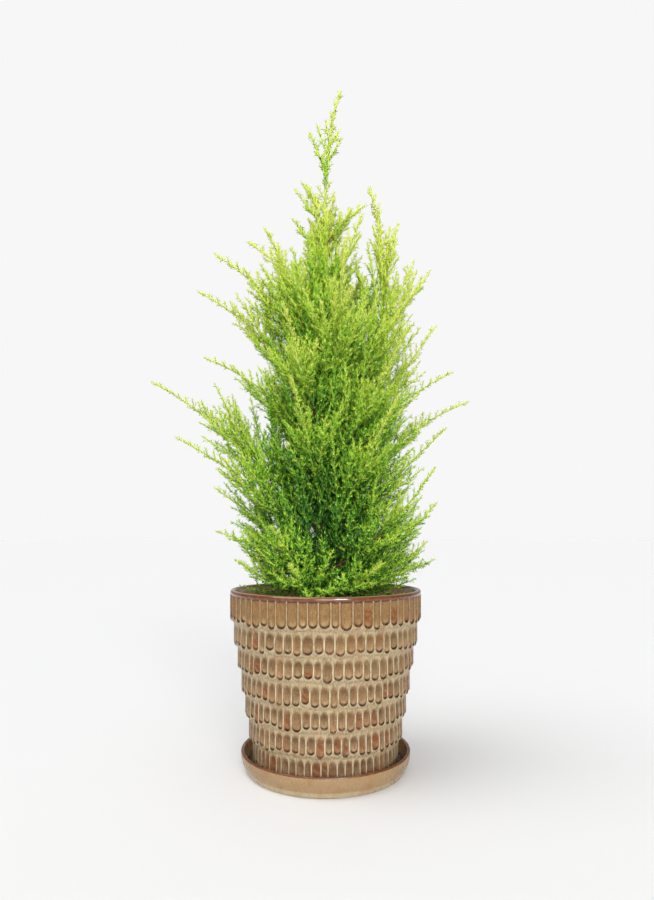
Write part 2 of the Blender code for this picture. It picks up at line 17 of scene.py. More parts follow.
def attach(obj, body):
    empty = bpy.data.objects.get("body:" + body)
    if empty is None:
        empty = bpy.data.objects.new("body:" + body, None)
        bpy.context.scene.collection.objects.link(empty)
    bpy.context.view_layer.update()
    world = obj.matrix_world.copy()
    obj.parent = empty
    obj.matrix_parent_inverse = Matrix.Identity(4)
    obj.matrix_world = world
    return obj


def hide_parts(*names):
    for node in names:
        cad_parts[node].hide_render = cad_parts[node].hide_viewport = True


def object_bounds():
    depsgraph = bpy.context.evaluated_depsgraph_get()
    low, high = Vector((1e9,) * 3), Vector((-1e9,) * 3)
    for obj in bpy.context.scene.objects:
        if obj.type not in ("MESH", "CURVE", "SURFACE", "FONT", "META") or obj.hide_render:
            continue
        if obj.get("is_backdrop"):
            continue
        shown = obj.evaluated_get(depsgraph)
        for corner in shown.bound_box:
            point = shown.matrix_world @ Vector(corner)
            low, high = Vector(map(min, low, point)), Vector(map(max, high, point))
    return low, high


bl_info = {
    "name": "Potted golden cypress",
    "version": (1, 0, 0),
    "blender": (4, 5, 0),
    "location": "View3D > Sidebar > Cypress",
    "description": "Dresses the frame of a potted golden cypress and sets the stage for it",
    "category": "Object",
}

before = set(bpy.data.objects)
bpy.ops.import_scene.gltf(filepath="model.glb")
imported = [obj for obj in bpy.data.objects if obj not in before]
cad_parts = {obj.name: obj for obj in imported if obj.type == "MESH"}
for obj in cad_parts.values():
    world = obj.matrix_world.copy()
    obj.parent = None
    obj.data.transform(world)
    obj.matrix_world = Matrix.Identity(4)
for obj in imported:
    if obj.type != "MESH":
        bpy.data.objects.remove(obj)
FRAME_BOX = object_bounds()

BODY = "root"
UP = Vector((0, 0, 1))

Bough = collections.namedtuple("Bough", "name root turn out tip arch")
Flutes = collections.namedtuple("Flutes", "turns share half end own")
Growth = collections.namedtuple("Growth", "look needles twigs")

# Soil and trunk, as in the solids
SOIL_TOP = 0.122
TRUNK_TOP = 0.4550
BARK_TOP = 0.396
TRUNK_FOOT_RADIUS = 0.0040
TRUNK_TOP_RADIUS = 0.0008
TRUNK_TAPER = 0.8
ROOT_FLARE = 0.0036
ROOT_FLARE_HEIGHT = 0.0065
ROOT_LOBES = 4
ROOT_LOBE_SHARE = 0.45
TRUNK_LEAN = 0.0055
TRUNK_LEAN_HEIGHT = 0.090
TRUNK_SWAY = 0.0016

# The crown's outline, as in the solids
CROWN_WIDEST_HEIGHT = 0.275
CROWN_WIDEST = 0.100
CROWN_FOOT_HEIGHT = 0.150
CROWN_FOOT = 0.074
CROWN_DOME = 0.190
CROWN_DOME_END = 0.99

# Boughs, as in the solids: height on the trunk, turn from +X towards the back in degrees, the tip's
# distance from the pot's axis, the tip's height, and how far the bough arches
OUTLINE_BOUGHS = (
    Bough("left_1", 0.318, 158, 0.0700, 0.4280, 0.20),
    Bough("left_2", 0.290, 196, 0.0868, 0.3950, 0.22),
    Bough("left_3", 0.262, 172, 0.1050, 0.3820, 0.18),
    Bough("left_4", 0.226, 206, 0.0975, 0.3115, 0.26),
    Bough("left_5", 0.182, 180, 0.1385, 0.3050, 0.12),
    Bough("left_6", 0.166, 200, 0.1165, 0.2545, 0.11),
    Bough("left_7", 0.150, 160, 0.1010, 0.2240, 0.04),
    Bough("left_8", 0.138, 190, 0.0855, 0.1860, 0.12),
    Bough("second_leader", 0.236, 6, 0.0355, 0.4610, -0.24),
    Bough("right_1", 0.270, -30, 0.0835, 0.3690, 0.05),
    Bough("right_2", 0.222, 26, 0.1065, 0.3650, 0.00),
    Bough("right_3", 0.196, -14, 0.0990, 0.3060, 0.23),
    Bough("right_4", 0.172, 12, 0.1215, 0.2945, 0.20),
    Bough("right_5", 0.160, -22, 0.0960, 0.2620, 0.04),
    Bough("right_6", 0.152, -40, 0.0990, 0.2300, -0.14),
    Bough("right_7", 0.148, 14, 0.0955, 0.2110, -0.16),
    Bough("right_8", 0.139, 28, 0.1000, 0.1780, -0.16),
)
TOP_BOUGHS = (
    Bough("top_left", 0.424, 184, 0.0190, 0.4620, 0.10),
    Bough("top_right", 0.412, -10, 0.0325, 0.4420, 0.12),
    Bough("top_front", 0.386, 254, 0.0290, 0.4380, 0.08),
    Bough("top_back", 0.398, 92, 0.0280, 0.4480, 0.08),
    Bough("upper_front", 0.356, 318, 0.0370, 0.4250, 0.00),
)
LOW_BOUGHS = 7
LOW_ROOT = 0.1285
LOW_ROOT_STEP = 0.0022
LOW_FIRST_TURN = -6
LOW_OUT = 0.0745
LOW_OUT_SPREAD = 0.0060
LOW_TIP = 0.1540
LOW_TIP_SPREAD = 0.0140
LOW_ARCH = -0.10
FACE_BOUGHS = 7
FACE_LOWEST_ROOT = 0.141
FACE_ROOT_STEP = 0.0275
FACE_BACK_SHIFT = 0.012
FACE_RISE = 0.084
FACE_RISE_SPREAD = 0.024
FACE_LOWEST_RISE_SHARE = 0.55
FACE_OUT_LEAST = 0.88
FACE_OUT_RANGE = 0.10
FACE_SWING_LEAST = 10
FACE_SWING_RANGE = 32
FACE_ARCH_LEAST = -0.06
FACE_ARCH_RANGE = 0.20
LEADER_TIP = Vector((0.0114, 0.0, 0.5345))
LEADER_BEND_AT = 0.5
LIMB_ROOT_RADIUS = 0.0016
LIMB_TO_TRUNK = 0.7
STEM_TIP_RADIUS = 0.00035

# The rule for side shoots, as in the solids but with every step taken
SHOOT_TURN = math.radians(165.8)
SHOOT_SPREAD = math.radians(38)
SHOOT_SPREAD_RANGE = math.radians(12)
SHOOT_LIFT = 0.30

# Pot, as in the solids
RIM_HEIGHT = 0.141
RIM_RADIUS = 0.075
LIP_HEIGHT = 0.0032
WALL = 0.0042
ROWS = 7
FIRST_ROW_DEPTH = 0.0215
ROW_DEPTH = 0.0182
TOP_ROW_RADIUS = 0.0748
ROW_SET_BACK = 0.0029
STEP_HEIGHT = 0.0036
POT_FLOOR = 0.0070
POT_FOOT = 0.0053

# Saucer, as in the solids
SAUCER_RADIUS = 0.0665
SAUCER_FOOT_RADIUS = 0.0605
SAUCER_HEIGHT = 0.0165
SAUCER_FLOOR = 0.0050
SAUCER_WALL = 0.0027

# Turned pieces in detail: points round them, how uneven they are, and their profiles
TURNED_SIDES = 200
CENTRE_RADIUS = 0.0005
LIP_WOBBLE = 0.00012
SAUCER_WOBBLE = 0.00010
INNER_RINGS = 7
INNER_BELOW_LIP = 0.0012
INNER_BELOW_SOIL = 0.004
SAUCER_FOOT_ROUND = 0.0022
SAUCER_SIDE_FROM = 0.0030
SAUCER_SIDE_SHORT = 0.0022
SAUCER_SIDE_RINGS = 12
SAUCER_FLARE = 0.0036
SAUCER_FLARE_POWER = 2.2

# Columns of points across a flute, as shares of its half width, and rings of points along it
ACROSS_FLUTE = (-1.15, -1.0, -0.93, -0.75, -0.4, 0.0, 0.4, 0.75, 0.93, 1.0)
UP_FLUTE = (0, 0.012, 0.03, 0.055, 0.09, 0.13, 0.19, 0.27, 0.37, 0.49, 0.62, 0.75, 0.87, 0.95, 1)
DOWN_WEB = (0.08, 0.25, 0.5, 0.75, 1.0)
DOWN_STEP = (0.3, 0.6)
DOWN_TO_FOOT = (0.9, 1.0)

# Flutes in detail: the height over which one opens below its top with how open it starts, the slope
# at its sides, its arched top in half widths, and where the web levels off above the next row
OPENING = (0.0034, 0.1)
TOP_ROW_OPENING = (0.0010, 0.4)
FLUTE_SLOPE = 0.0011
FLUTE_ARCH = 1.2
LEVEL_OFF = 0.0019
FOOT_ROUNDING = 0.0012

# Glaze and painted light in detail: how far in from a flute's edge each tone lies, and how wide it is. They
# are a painted highlight, painted shade along the sides and a crescent of painted shadow and pooled glaze
HIGHLIGHT_FROM = 0.0009
HIGHLIGHT_BLUR = 0.0009
SIDE_SHADE_AT = 0.00030
SIDE_SHADE_WIDTH = 0.00028
CRESCENT_AT = 0.00050
CRESCENT_WIDTH = 0.00068
RUST_PITCH = 1100

# Painted light on the web below a flute: a painted shadow at its edge, then a pale painted highlight line
WEB_SHADOW_WIDTH = 0.00055
WEB_HIGHLIGHT_AT = 0.0011
WEB_HIGHLIGHT_WIDTH = 0.0006

# Soil in detail
SOIL_RINGS = 34
SOIL_SIDES = 120
SOIL_GAP = 0.0004
SOIL_LUMP_PITCH = 110
SOIL_LUMP = 0.0011
SOIL_SINK = 0.0006
SOIL_EDGE_SINK = 0.0015
CRUMBS = 900
CRUMB_INSET = 0.003
CRUMB_LEAST = 0.0005
CRUMB_RANGE = 0.0014

# Bark in detail
TRUNK_RINGS = 260
TRUNK_SIDES = 20
TRUNK_RING_POWER = 1.2
TRUNK_SUNK = 0.001
TRUNK_RELIEF = 0.13
LIMB_RINGS = 14
LIMB_SIDES = 9
LIMB_SHOWN = 0.55
LIMB_SHOWN_LESS = 0.30
LIMB_END_RADIUS = 0.0006
LIMB_COLLAR = 1.35

# Shoots in detail: stems by rings and sides, then how shoots, forks and twigs leave what they grow on
STEM_SAMPLES = 120
STEM_RINGS = 12
STEM_SIDES = 5
STEM_TAPER = 0.7
TIP_LENGTH = 0.060
TIP_RUNS = 12
SHOOT_RADII = (0.00042, 0.00034, 0.00026, 0.00016)
SHOOT_SIDES = 3
SHOOT_RISE = 0.16
SHOOT_SAG = 0.07
FORK_SPREAD = math.radians(34)
FORK_LIFT = 0.24
TWIG_SPREAD = math.radians(44)
TWIG_LIFT = 0.18
TWIG_NEAREST = 0.10
GOLDEN_ANGLE = math.radians(137.5)
TRUNK_SHOOTS_FROM = 0.33
TRUNK_SHOOTS_RATIO = 0.32
LEADER_RATIO = 0.60
VIGOUR_TIP = 0.25
VIGOUR_RANGE = 0.07
SLIMNESS_EASE = 0.45

# Needles in detail
NEEDLES_A_PIECE = 60000
SPIKE_FACES = ((0, 1, 2), (0, 2, 3), (0, 3, 1))
NEEDLE_TWIST = 0.25
NEEDLE_SPREAD_RANGE = (0.75, 1.25)
NEEDLE_LENGTH_RANGE = (0.75, 1.2)
CLEARANCE = 0.001
WALL_CLEARANCE = 0.0015
RIM_CLEARANCE = 0.0008

# Where the crown turns coarser, by height, and how the shade of green follows height and reach; the paler top
# and outside are golden young growth and painted light, the deep inside painted shade
COARSE_FROM = 0.31
COARSE_RANGE = 0.13
SHADE_RISE_FROM = 0.13
SHADE_RISE_RANGE = 0.27
SHADE_REACH_FROM = 0.25
SHADE_REACH_RANGE = 0.70
SHADE_TOP_FROM = 0.36
SHADE_TOP_RANGE = 0.08
SHADE_BY_RISE = 2.8
SHADE_BY_REACH = 2.0
SHADE_OUTWARD = 2.9
SHADE_DEEPEST = -0.35
REACH_HEIGHT_MOST = 0.46
REACH_LEAST = 0.02

# The stage: where the softbox faces, its place and size, and the floor
AIM = Vector((0, 0, 0.15))
SOFTBOX_PLACE = Vector((0.46, -1.22, 1.00))
SOFTBOX_WIDTH = 0.34
SOFTBOX_HEIGHT = 0.50
FLOOR_RADIUS = 40
FLOOR_SIDES = 64
FILL_FRONT = 1.15
NEAREST_SEEN = 0.01

# The suns: name, the setting of the strength, then tilt, turn and width in degrees
SUNS = (("key", "sun", 27, -72, 36), ("front", "front", 70, 8, 40), ("top", "top", 14, -40, 70))


def linear(red, green, blue):
    """A colour of 0 to 255 a channel, as a display shows it, in linear light."""
    shares = [channel / 255 for channel in (red, green, blue)]
    return tuple(s / 12.92 if s <= 0.04045 else ((s + 0.055) / 1.055) ** 2.4 for s in shares)


WEB_TAN = linear(186, 168, 134)
RIDGE_PALE = linear(228, 208, 172)
FLUTE_OLIVE = linear(144, 112, 72)
FLUTE_BROWN = linear(136, 106, 78)
# Painted highlight: paler tan low in each flute, where its floor faces up to the light
FLUTE_HIGHLIGHT_TAN = linear(196, 168, 124)
FLUTE_RUST = linear(128, 56, 20)
# Painted shade: dark brown on the flutes' upper parts and sides and on the saucer's floor
PAINTED_SHADE_BROWN = linear(62, 34, 14)
# Dark brown at and below flute ends: painted shadow, and in the crescents also thick pooled glaze
SHADOW_AND_THICK_GLAZE_BROWN = linear(38, 15, 2)
GLAZE_STREAK = linear(104, 74, 44)
GLAZE_CLOUD = linear(150, 100, 62)
GLAZE_SPECK = linear(200, 180, 146)
LIP_BROWN = linear(104, 54, 22)
# Under the lip: darker glaze with painted shadow under the lip's overhang
LIP_DARK_GLAZE_AND_SHADOW = linear(58, 28, 10)
LIP_PALE = linear(176, 138, 98)
INNER_TAN = linear(214, 178, 142)
SAUCER_TAN = linear(160, 131, 93)
SAUCER_EDGE = linear(182, 164, 130)
SAUCER_RUST = linear(100, 54, 24)
EARTH_DARK = linear(44, 33, 25)
EARTH_LIGHT = linear(92, 72, 54)
BARK_DARK = linear(72, 48, 32)
BARK_LIGHT = linear(138, 102, 72)
GREEN_TWIG = linear(140, 166, 72)
# Greens from deep to pale gold: the foliage's own colours, also dealt out as painted light and shade
NEEDLE_SHADES = (
    linear(20, 76, 20),
    linear(58, 138, 34),
    linear(130, 198, 50),
    linear(176, 222, 62),
    linear(200, 226, 68),
    linear(214, 232, 84),
    linear(228, 238, 116),
)
FLOOR_WHITE = (0.806, 0.807, 0.811)

# The lip's underside, darker glaze with painted shadow: places out from the top row's radius and up from the
# underside, and colours
LIP_UNDERSIDE = (
    (-0.0016, -0.0008, LIP_DARK_GLAZE_AND_SHADOW),
    (-0.0003, -0.0009, LIP_DARK_GLAZE_AND_SHADOW),
    (-0.0001, -0.0003, LIP_DARK_GLAZE_AND_SHADOW),
    (0.0, 0.0002, LIP_BROWN),
)

# Stretches of the lip's rounding: start and end in degrees from outside, steps and colour
LIP_ARCS = (
    (0, 55, 6, LIP_BROWN),
    (66, 100, 4, LIP_PALE),
    (112, 150, 4, LIP_BROWN),
    (160, 180, 2, LIP_PALE),
)

# The saucer's inside: places in from the wall's inner side, heights and colours; the lower ones are painted
# shade
SAUCER_INSIDE = (
    (0.0006, SAUCER_HEIGHT - 0.004, SAUCER_TAN),
    (0.0018, SAUCER_FLOOR + 0.004, SAUCER_TAN),
    (0.0034, SAUCER_FLOOR + 0.0012, PAINTED_SHADE_BROWN),
    (0.0060, SAUCER_FLOOR, PAINTED_SHADE_BROWN),
)


def chance(*keys):
    """A number from 0 to 1 that depends on the keys alone."""
    weights = (12.9898, 78.233, 37.719, 4.581)
    wave = math.sin(sum(key * weight for key, weight in zip(keys, weights)) + 1.7) * 43758.5453
    return wave - math.floor(wave)


def varied(*keys):
    """A factor from 0.7 to 1.3 that depends on the keys alone."""
    return 0.7 + 0.6 * chance(*keys)


def smooth(value):
    """0 below 0, 1 above 1 and an even S between, for numbers and arrays."""
    share = np.clip(value, 0.0, 1.0)
    return share * share * (3 - 2 * share)


def shader_of(name):
    """A new node material and its shader."""
    made = bpy.data.materials.new(name)
    made.use_nodes = True
    return made, made.node_tree.nodes["Principled BSDF"]


def mixed(tree, factor, first, second):
    """A node that mixes two colours, each a plain colour or a socket."""
    node = tree.nodes.new("ShaderNodeMix")
    node.data_type = "RGBA"
    tree.links.new(factor, node.inputs["Factor"])
    for socket, colour in ((node.inputs[6], first), (node.inputs[7], second)):
        if isinstance(colour, bpy.types.NodeSocket):
            tree.links.new(colour, socket)
        else:
            socket.default_value = (*colour, 1.0)
    return node.outputs[2]


def noise_socket(tree, scale, detail=4.0, stretch=(1, 1, 1)):
    """A noise over the object's own coordinates, from 0 to 1."""
    place = tree.nodes.new("ShaderNodeTexCoord")
    shape = tree.nodes.new("ShaderNodeMapping")
    shape.inputs["Scale"].default_value = stretch
    grain = tree.nodes.new("ShaderNodeTexNoise")
    grain.inputs["Scale"].default_value = scale
    grain.inputs["Detail"].default_value = detail
    tree.links.new(place.outputs["Object"], shape.inputs["Vector"])
    tree.links.new(shape.outputs["Vector"], grain.inputs["Vector"])
    return grain.outputs["Fac"]


def ranged(tree, value, low, high, start, end):
    """A value moved from one range to another."""
    node = tree.nodes.new("ShaderNodeMapRange")
    tree.links.new(value, node.inputs["Value"])
    node.inputs["From Min"].default_value = low
    node.inputs["From Max"].default_value = high
    node.inputs["To Min"].default_value = start
    node.inputs["To Max"].default_value = end
    return node.outputs["Result"]


def bumped(tree, shader, value, strength, distance):
    """Lets a value raise and sink the surface in the light."""
    node = tree.nodes.new("ShaderNodeBump")
    node.inputs["Strength"].default_value = strength
    node.inputs["Distance"].default_value = distance
    tree.links.new(value, node.inputs["Height"])
    tree.links.new(node.outputs["Normal"], shader.inputs["Normal"])


def laid_colour(tree):
    """The colour laid on the mesh's vertices."""
    node = tree.nodes.new("ShaderNodeVertexColor")
    node.layer_name = "glaze"
    return node.outputs["Color"]


def plain_material(name, colour, roughness, specular=0.5):
    """A material of one colour."""
    made, shader = shader_of(name)
    shader.inputs["Base Color"].default_value = (*colour, 1.0)
    shader.inputs["Roughness"].default_value = roughness
    shader.inputs["Specular IOR Level"].default_value = specular
    return made


def glaze_material(name, specular, streaky):
    """A mottled glaze over the colours laid on the mesh, glossy with a faint orange-peel surface."""
    made, shader = shader_of(name)
    tree = made.node_tree
    laid = laid_colour(tree)
    streaks = ranged(tree, noise_socket(tree, 800, 3, (1, 1, 0.30)), 0.44, 0.66, 0.0, streaky)
    streaked = mixed(tree, streaks, laid, GLAZE_STREAK)
    cloud = ranged(tree, noise_socket(tree, 110, 4, (1, 1, 0.6)), 0.50, 0.72, 0.0, 0.40)
    clouded = mixed(tree, cloud, streaked, GLAZE_CLOUD)
    specks = ranged(tree, noise_socket(tree, 1000, 3), 0.56, 0.74, 0.0, 0.35)
    speckled = mixed(tree, specks, clouded, GLAZE_SPECK)
    tree.links.new(speckled, shader.inputs["Base Color"])
    roughness = ranged(tree, noise_socket(tree, 140, 3), 0.3, 0.7, 0.20, 0.36)
    tree.links.new(roughness, shader.inputs["Roughness"])
    shader.inputs["Specular IOR Level"].default_value = specular
    bumped(tree, shader, noise_socket(tree, 420, 3), 0.25, 0.0002)
    return made


def lip_material():
    """The thicker, glassy glaze of the lip over the colours laid on the mesh."""
    made, shader = shader_of("lip_glaze")
    tree = made.node_tree
    laid = laid_colour(tree)
    cloud = ranged(tree, noise_socket(tree, 260, 4), 0.46, 0.74, 0.0, 0.45)
    tree.links.new(mixed(tree, cloud, laid, GLAZE_CLOUD), shader.inputs["Base Color"])
    shader.inputs["Roughness"].default_value = 0.16
    shader.inputs["Coat Weight"].default_value = 0.5
    shader.inputs["Coat Roughness"].default_value = 0.05
    return made


def earth_material():
    """Damp potting mix: dark crumbs with lighter fibres."""
    made, shader = shader_of("damp_potting_mix")
    tree = made.node_tree
    colour = mixed(tree, ranged(tree, noise_socket(tree, 350, 6), 0.4, 0.7, 0, 1), EARTH_DARK, EARTH_LIGHT)
    tree.links.new(colour, shader.inputs["Base Color"])
    shader.inputs["Roughness"].default_value = 0.9
    bumped(tree, shader, noise_socket(tree, 700, 6), 0.8, 0.0006)
    return made


def bark_material():
    """Young bark: brown fibres that run up the stem, dull and slightly flaking."""
    made, shader = shader_of("young_bark")
    tree = made.node_tree
    fibres = noise_socket(tree, 420, 5, (1, 1, 0.12))
    colour = mixed(tree, ranged(tree, fibres, 0.35, 0.65, 0, 1), BARK_DARK, BARK_LIGHT)
    tree.links.new(colour, shader.inputs["Base Color"])
    shader.inputs["Roughness"].default_value = 0.8
    bumped(tree, shader, fibres, 0.6, 0.0003)
    return made


def linked(name, data):
    """An object of some data, linked to the scene."""
    made = bpy.data.objects.new(name, data)
    bpy.context.scene.collection.objects.link(made)
    return made


def mesh_object(name, points, faces, material):
    """A smoothly shaded object from lists of points and faces."""
    mesh = bpy.data.meshes.new(name)
    mesh.from_pydata(points, [], faces)
    mesh.update()
    mesh.shade_smooth()
    mesh.materials.append(material)
    return linked(name, mesh)


def lay_colours(mesh, colours):
    """Puts one colour on each vertex, as the layer that the glaze reads."""
    layer = mesh.color_attributes.new("glaze", "FLOAT_COLOR", "POINT")
    filled = np.ones((len(colours), 4), np.float32)
    filled[:, :3] = colours
    layer.data.foreach_set("color", filled.ravel())


def ring_faces(rings, columns):
    """Quads of a closed band of rings, first ring lowest, that face outwards."""
    ring, column = np.meshgrid(np.arange(rings - 1), np.arange(columns), indexing="ij")
    following = (column + 1) % columns
    here, there = ring * columns, (ring + 1) * columns
    corners = (here + column, here + following, there + following, there + column)
    return np.stack(corners, axis=-1).reshape(-1, 4)


def grid_points(radius, turns, level):
    """Points round the axis, ring by ring, from arrays of radii, turns and heights."""
    return np.stack([radius * np.cos(turns), radius * np.sin(turns), level], axis=-1).reshape(-1, 3)


def replace(piece, slot, *nodes):
    """Puts a piece on the body and hides the nodes that it stands for; its slot is not used."""
    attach(piece, BODY)
    if nodes:
        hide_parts(*nodes)


def row_end(row):
    return RIM_HEIGHT - FIRST_ROW_DEPTH - ROW_DEPTH * row


def row_radius(row):
    return TOP_ROW_RADIUS - ROW_SET_BACK * row


def inner_radius(height):
    share = (height - POT_FLOOR) / (RIM_HEIGHT - POT_FLOOR)
    foot = row_radius(ROWS - 1) - WALL
    return foot + (RIM_RADIUS - WALL - foot) * share


def flutes_of(row, look):
    """A row's columns of points: their turns, places across their flutes, and their flutes' own sizes."""
    count, columns = look.flutes, len(ACROSS_FLUTE)
    number = np.arange(count)
    own = np.array([[chance(row, i, key) for key in (21, 23, 24, 25)] for i in number])
    edges = (number + chance(row, 22) + look.unevenness * (own[:, 0] - 0.5)) / count * math.tau
    spans = np.diff(np.append(edges, edges[0] + math.tau))
    ridge = look.ridge_width / 2 / row_radius(row)
    half = spans / 2 - ridge
    share = np.tile(ACROSS_FLUTE, (count, 1))
    middle = edges + spans / 2
    turns = middle[:, None] + share * half[:, None]
    turns[:, 0] = edges
    ends = row_end(row) + look.end_unevenness * (own[:, 1] - 0.5)
    end = np.repeat(ends[:, None], columns, axis=1)
    end[:, 0] = (ends + np.roll(ends, 1)) / 2
    halves = np.repeat(half * row_radius(row), columns)
    return Flutes(turns.ravel(), share.ravel(), halves, end.ravel(), np.repeat(own, columns, axis=0))


def round_end(share):
    """How far a round end falls back at a place across a flute, in half widths."""
    return 1 - np.sqrt(1 - np.clip(np.abs(share), 0, 1) ** 2)


def flute_ends(flute):
    """The height where each column's flute ends: the flutes have round lower ends."""
    return flute.end + flute.half * round_end(flute.share)


def row_top(row):
    return RIM_HEIGHT - LIP_HEIGHT if row == 0 else row_end(row - 1) - STEP_HEIGHT


def paint(colour, mask, tone):
    """Lays a tone over colours, in place, as far as a mask of 0 to 1 says."""
    colour += (np.array(tone) - colour) * np.clip(mask, 0, 1)[..., None]


def band(values, middle, width):
    """A soft band round a value: 1 in its middle, falling off by its width."""
    return np.exp(-(((values - middle) / width) ** 2))


def row_body(row, flute, look):
    """Heights, radii and colours of the rings that run up a row's flutes, from their ends to its top; the
    colours hold painted shade and highlights.
    """
    bottom = flute_ends(flute)
    top = row_top(row)
    level = bottom + (top - bottom) * np.array(UP_FLUTE)[:, None]
    middle = flute.end + flute.half
    inset = flute.half - np.hypot(flute.share * flute.half, np.minimum(level - middle, 0))
    from_end = np.clip((level - flute.end) / (top - flute.end), 0, 1)
    arch = FLUTE_ARCH * flute.half * round_end(flute.share) if row else 0.0
    below_top = top - arch - level
    height, start = OPENING if row else TOP_ROW_OPENING
    opened = smooth(below_top / height + start)
    sides = smooth(inset / FLUTE_SLOPE)
    depth = look.flute_depth * (0.45 + 0.55 * (from_end if row else 0.6)) * sides * opened
    radius = row_radius(row) - depth

    low = row / (ROWS - 1)
    hollow = sides * opened
    rust = flute.own[:, 2] < look.rust_share * (0.35 + 1.3 * low)
    reach = 0.25 + 0.75 * flute.own[:, 3]
    spread = 0.36 if row else 0.12
    tone = (1 + spread * (flute.own[:, 3] - 0.5))[None, :, None]
    floor = np.array(FLUTE_OLIVE) + (np.array(FLUTE_BROWN) - np.array(FLUTE_OLIVE)) * low
    colour = np.full((*level.shape, 3), WEB_TAN if row else FLUTE_OLIVE)
    paint(colour, hollow * 0.92, floor * tone)
    # Painted shade: the upper part of a lower row's flute is darkened, where the step above shades it
    deep = smooth((from_end - 0.35) / 0.35) * smooth((1.05 - from_end) / 0.25)
    paint(colour, hollow * deep * (0.30 + 0.35 * flute.own[:, 1] if row else 0.0), PAINTED_SHADE_BROWN)
    patchy = 0.62 + 0.38 * np.sin(level * RUST_PITCH + flute.own[:, 1] * math.tau + flute.share * 2)
    paint(colour, hollow * rust * smooth((reach - from_end) / 0.25) * patchy, FLUTE_RUST)
    # Painted highlight on the lower part of each flute, where its floor faces up, fainter on rust
    painted_highlight = smooth((inset - HIGHLIGHT_FROM) / HIGHLIGHT_BLUR) * smooth((0.36 - from_end) / 0.26)
    paint(colour, painted_highlight * (0.25 + 0.55 * flute.own[:, 0]) * np.where(rust, 0.4, 1.0), FLUTE_HIGHLIGHT_TAN)
    # Painted shade in the crease along each flute's sides, darker in the lower rows
    painted_side_shade = band(inset, SIDE_SHADE_AT, SIDE_SHADE_WIDTH) * opened
    paint(colour, painted_side_shade * (0.55 + 0.30 * low), PAINTED_SHADE_BROWN)
    # Painted shadow and thick pooled glaze: a dark crescent inside each flute's round end, where it steps in
    lowest = smooth((middle - level) / flute.half * 1.25)
    paint(colour, band(inset, CRESCENT_AT, CRESCENT_WIDTH) * lowest * 1.5, SHADOW_AND_THICK_GLAZE_BROWN)
    ridge = smooth((np.abs(flute.share) - 0.97) / 0.06) * smooth(below_top / 0.002 + (row == 0))
    paint(colour, ridge * (0.85 if row else 0.45), RIDGE_PALE)
    return level, radius, colour


def row_step(row, flute, following):
    """Heights, radii, turns and colours of the rings below a row's flutes, down to the next row's top; the
    colours hold a painted shadow and highlight.
    """
    bottom = flute_ends(flute)
    level_off = row_end(row) - LEVEL_OFF
    last = row == ROWS - 1
    foot = POT_FOOT if last else row_end(row) - STEP_HEIGHT
    rings = [(bottom + (level_off - bottom) * share, flute.turns) for share in DOWN_WEB]
    for share in DOWN_STEP + DOWN_TO_FOOT * last:
        height = np.full_like(bottom, level_off + (foot - level_off) * share)
        rings.append((height, flute.turns + (following - flute.turns) * smooth(share)))
    level, turns = (np.array(values) for values in zip(*rings))
    start = flute.end + 0.35 * (bottom - flute.end)
    radius = row_radius(row) - ROW_SET_BACK * smooth((start - level) / (start - foot))
    colour = np.full((*level.shape, 3), WEB_TAN)
    below = bottom - level
    # Painted shadow on the web just below each flute's end
    edge = band(below, 0, WEB_SHADOW_WIDTH) * (np.abs(flute.share) < 0.8)
    paint(colour, edge * 0.8, SHADOW_AND_THICK_GLAZE_BROWN)
    # Painted highlight: a pale line on the web a little below that
    web_highlight = band(below, WEB_HIGHLIGHT_AT, WEB_HIGHLIGHT_WIDTH) * (np.abs(flute.share) < 0.95)
    paint(colour, web_highlight * 0.35, RIDGE_PALE)
    return level, radius, turns, colour


def beside(flute, above, look):
    """A row's columns counted from the flute nearest to the first of the row above."""
    cells = int(round((flute.turns - above.turns).mean() / (math.tau / look.flutes)))
    counted = [np.roll(values, cells * len(ACROSS_FLUTE), axis=0) for values in flute]
    counted[0] = np.unwrap(counted[0])
    counted[0] -= math.tau * round((counted[0] - above.turns).mean() / math.tau)
    return Flutes(*counted)


def fluted_wall(look):
    """Points, faces and colours of the pot's outer wall: rows of round-ended flutes, each row set in."""
    flutes = [flutes_of(row, look) for row in range(ROWS)]
    bands = []
    for row, flute in enumerate(flutes):
        level, radius, colour = row_body(row, flute, look)
        bands.append((level[::-1], radius[::-1], np.tile(flute.turns, (len(level), 1)), colour[::-1]))
        if row < ROWS - 1:
            flutes[row + 1] = beside(flutes[row + 1], flute, look)
        bands.append(row_step(row, flute, flutes[min(row + 1, ROWS - 1)].turns))
    level, radius, turns, colour = (np.concatenate(values)[::-1] for values in zip(*bands))
    radius = radius - smooth((POT_FOOT + FOOT_ROUNDING - level) / FOOT_ROUNDING) * FOOT_ROUNDING
    return grid_points(radius, turns, level), ring_faces(*level.shape), colour.reshape(-1, 3)


def banded_turning(name, profile, material, wobble):
    """A turned piece whose profile is (radius, height, colour) points, from the inside or foot onwards."""
    turns = np.arange(TURNED_SIDES) / TURNED_SIDES * math.tau
    radii, heights, colours = (np.array(values) for values in zip(*profile))
    radii = radii[:, None] + wobble * np.sin(3 * turns + 0.6) + wobble * 0.6 * np.sin(7 * turns)
    points = grid_points(radii, turns, np.broadcast_to(heights[:, None], radii.shape))
    faces = ring_faces(len(profile), TURNED_SIDES)
    made = mesh_object(name, points.tolist(), faces.tolist(), material)
    lay_colours(made.data, np.repeat(colours, TURNED_SIDES, axis=0))
    return made


def arc(centre, radius, start, end, steps, colour):
    """Profile points of one colour round a centre of (radius, height), by angles in degrees."""
    made = []
    for i in range(steps + 1):
        angle = math.radians(start + (end - start) * i / steps)
        made.append((centre[0] + radius * math.cos(angle), centre[1] + radius * math.sin(angle), colour))
    return made


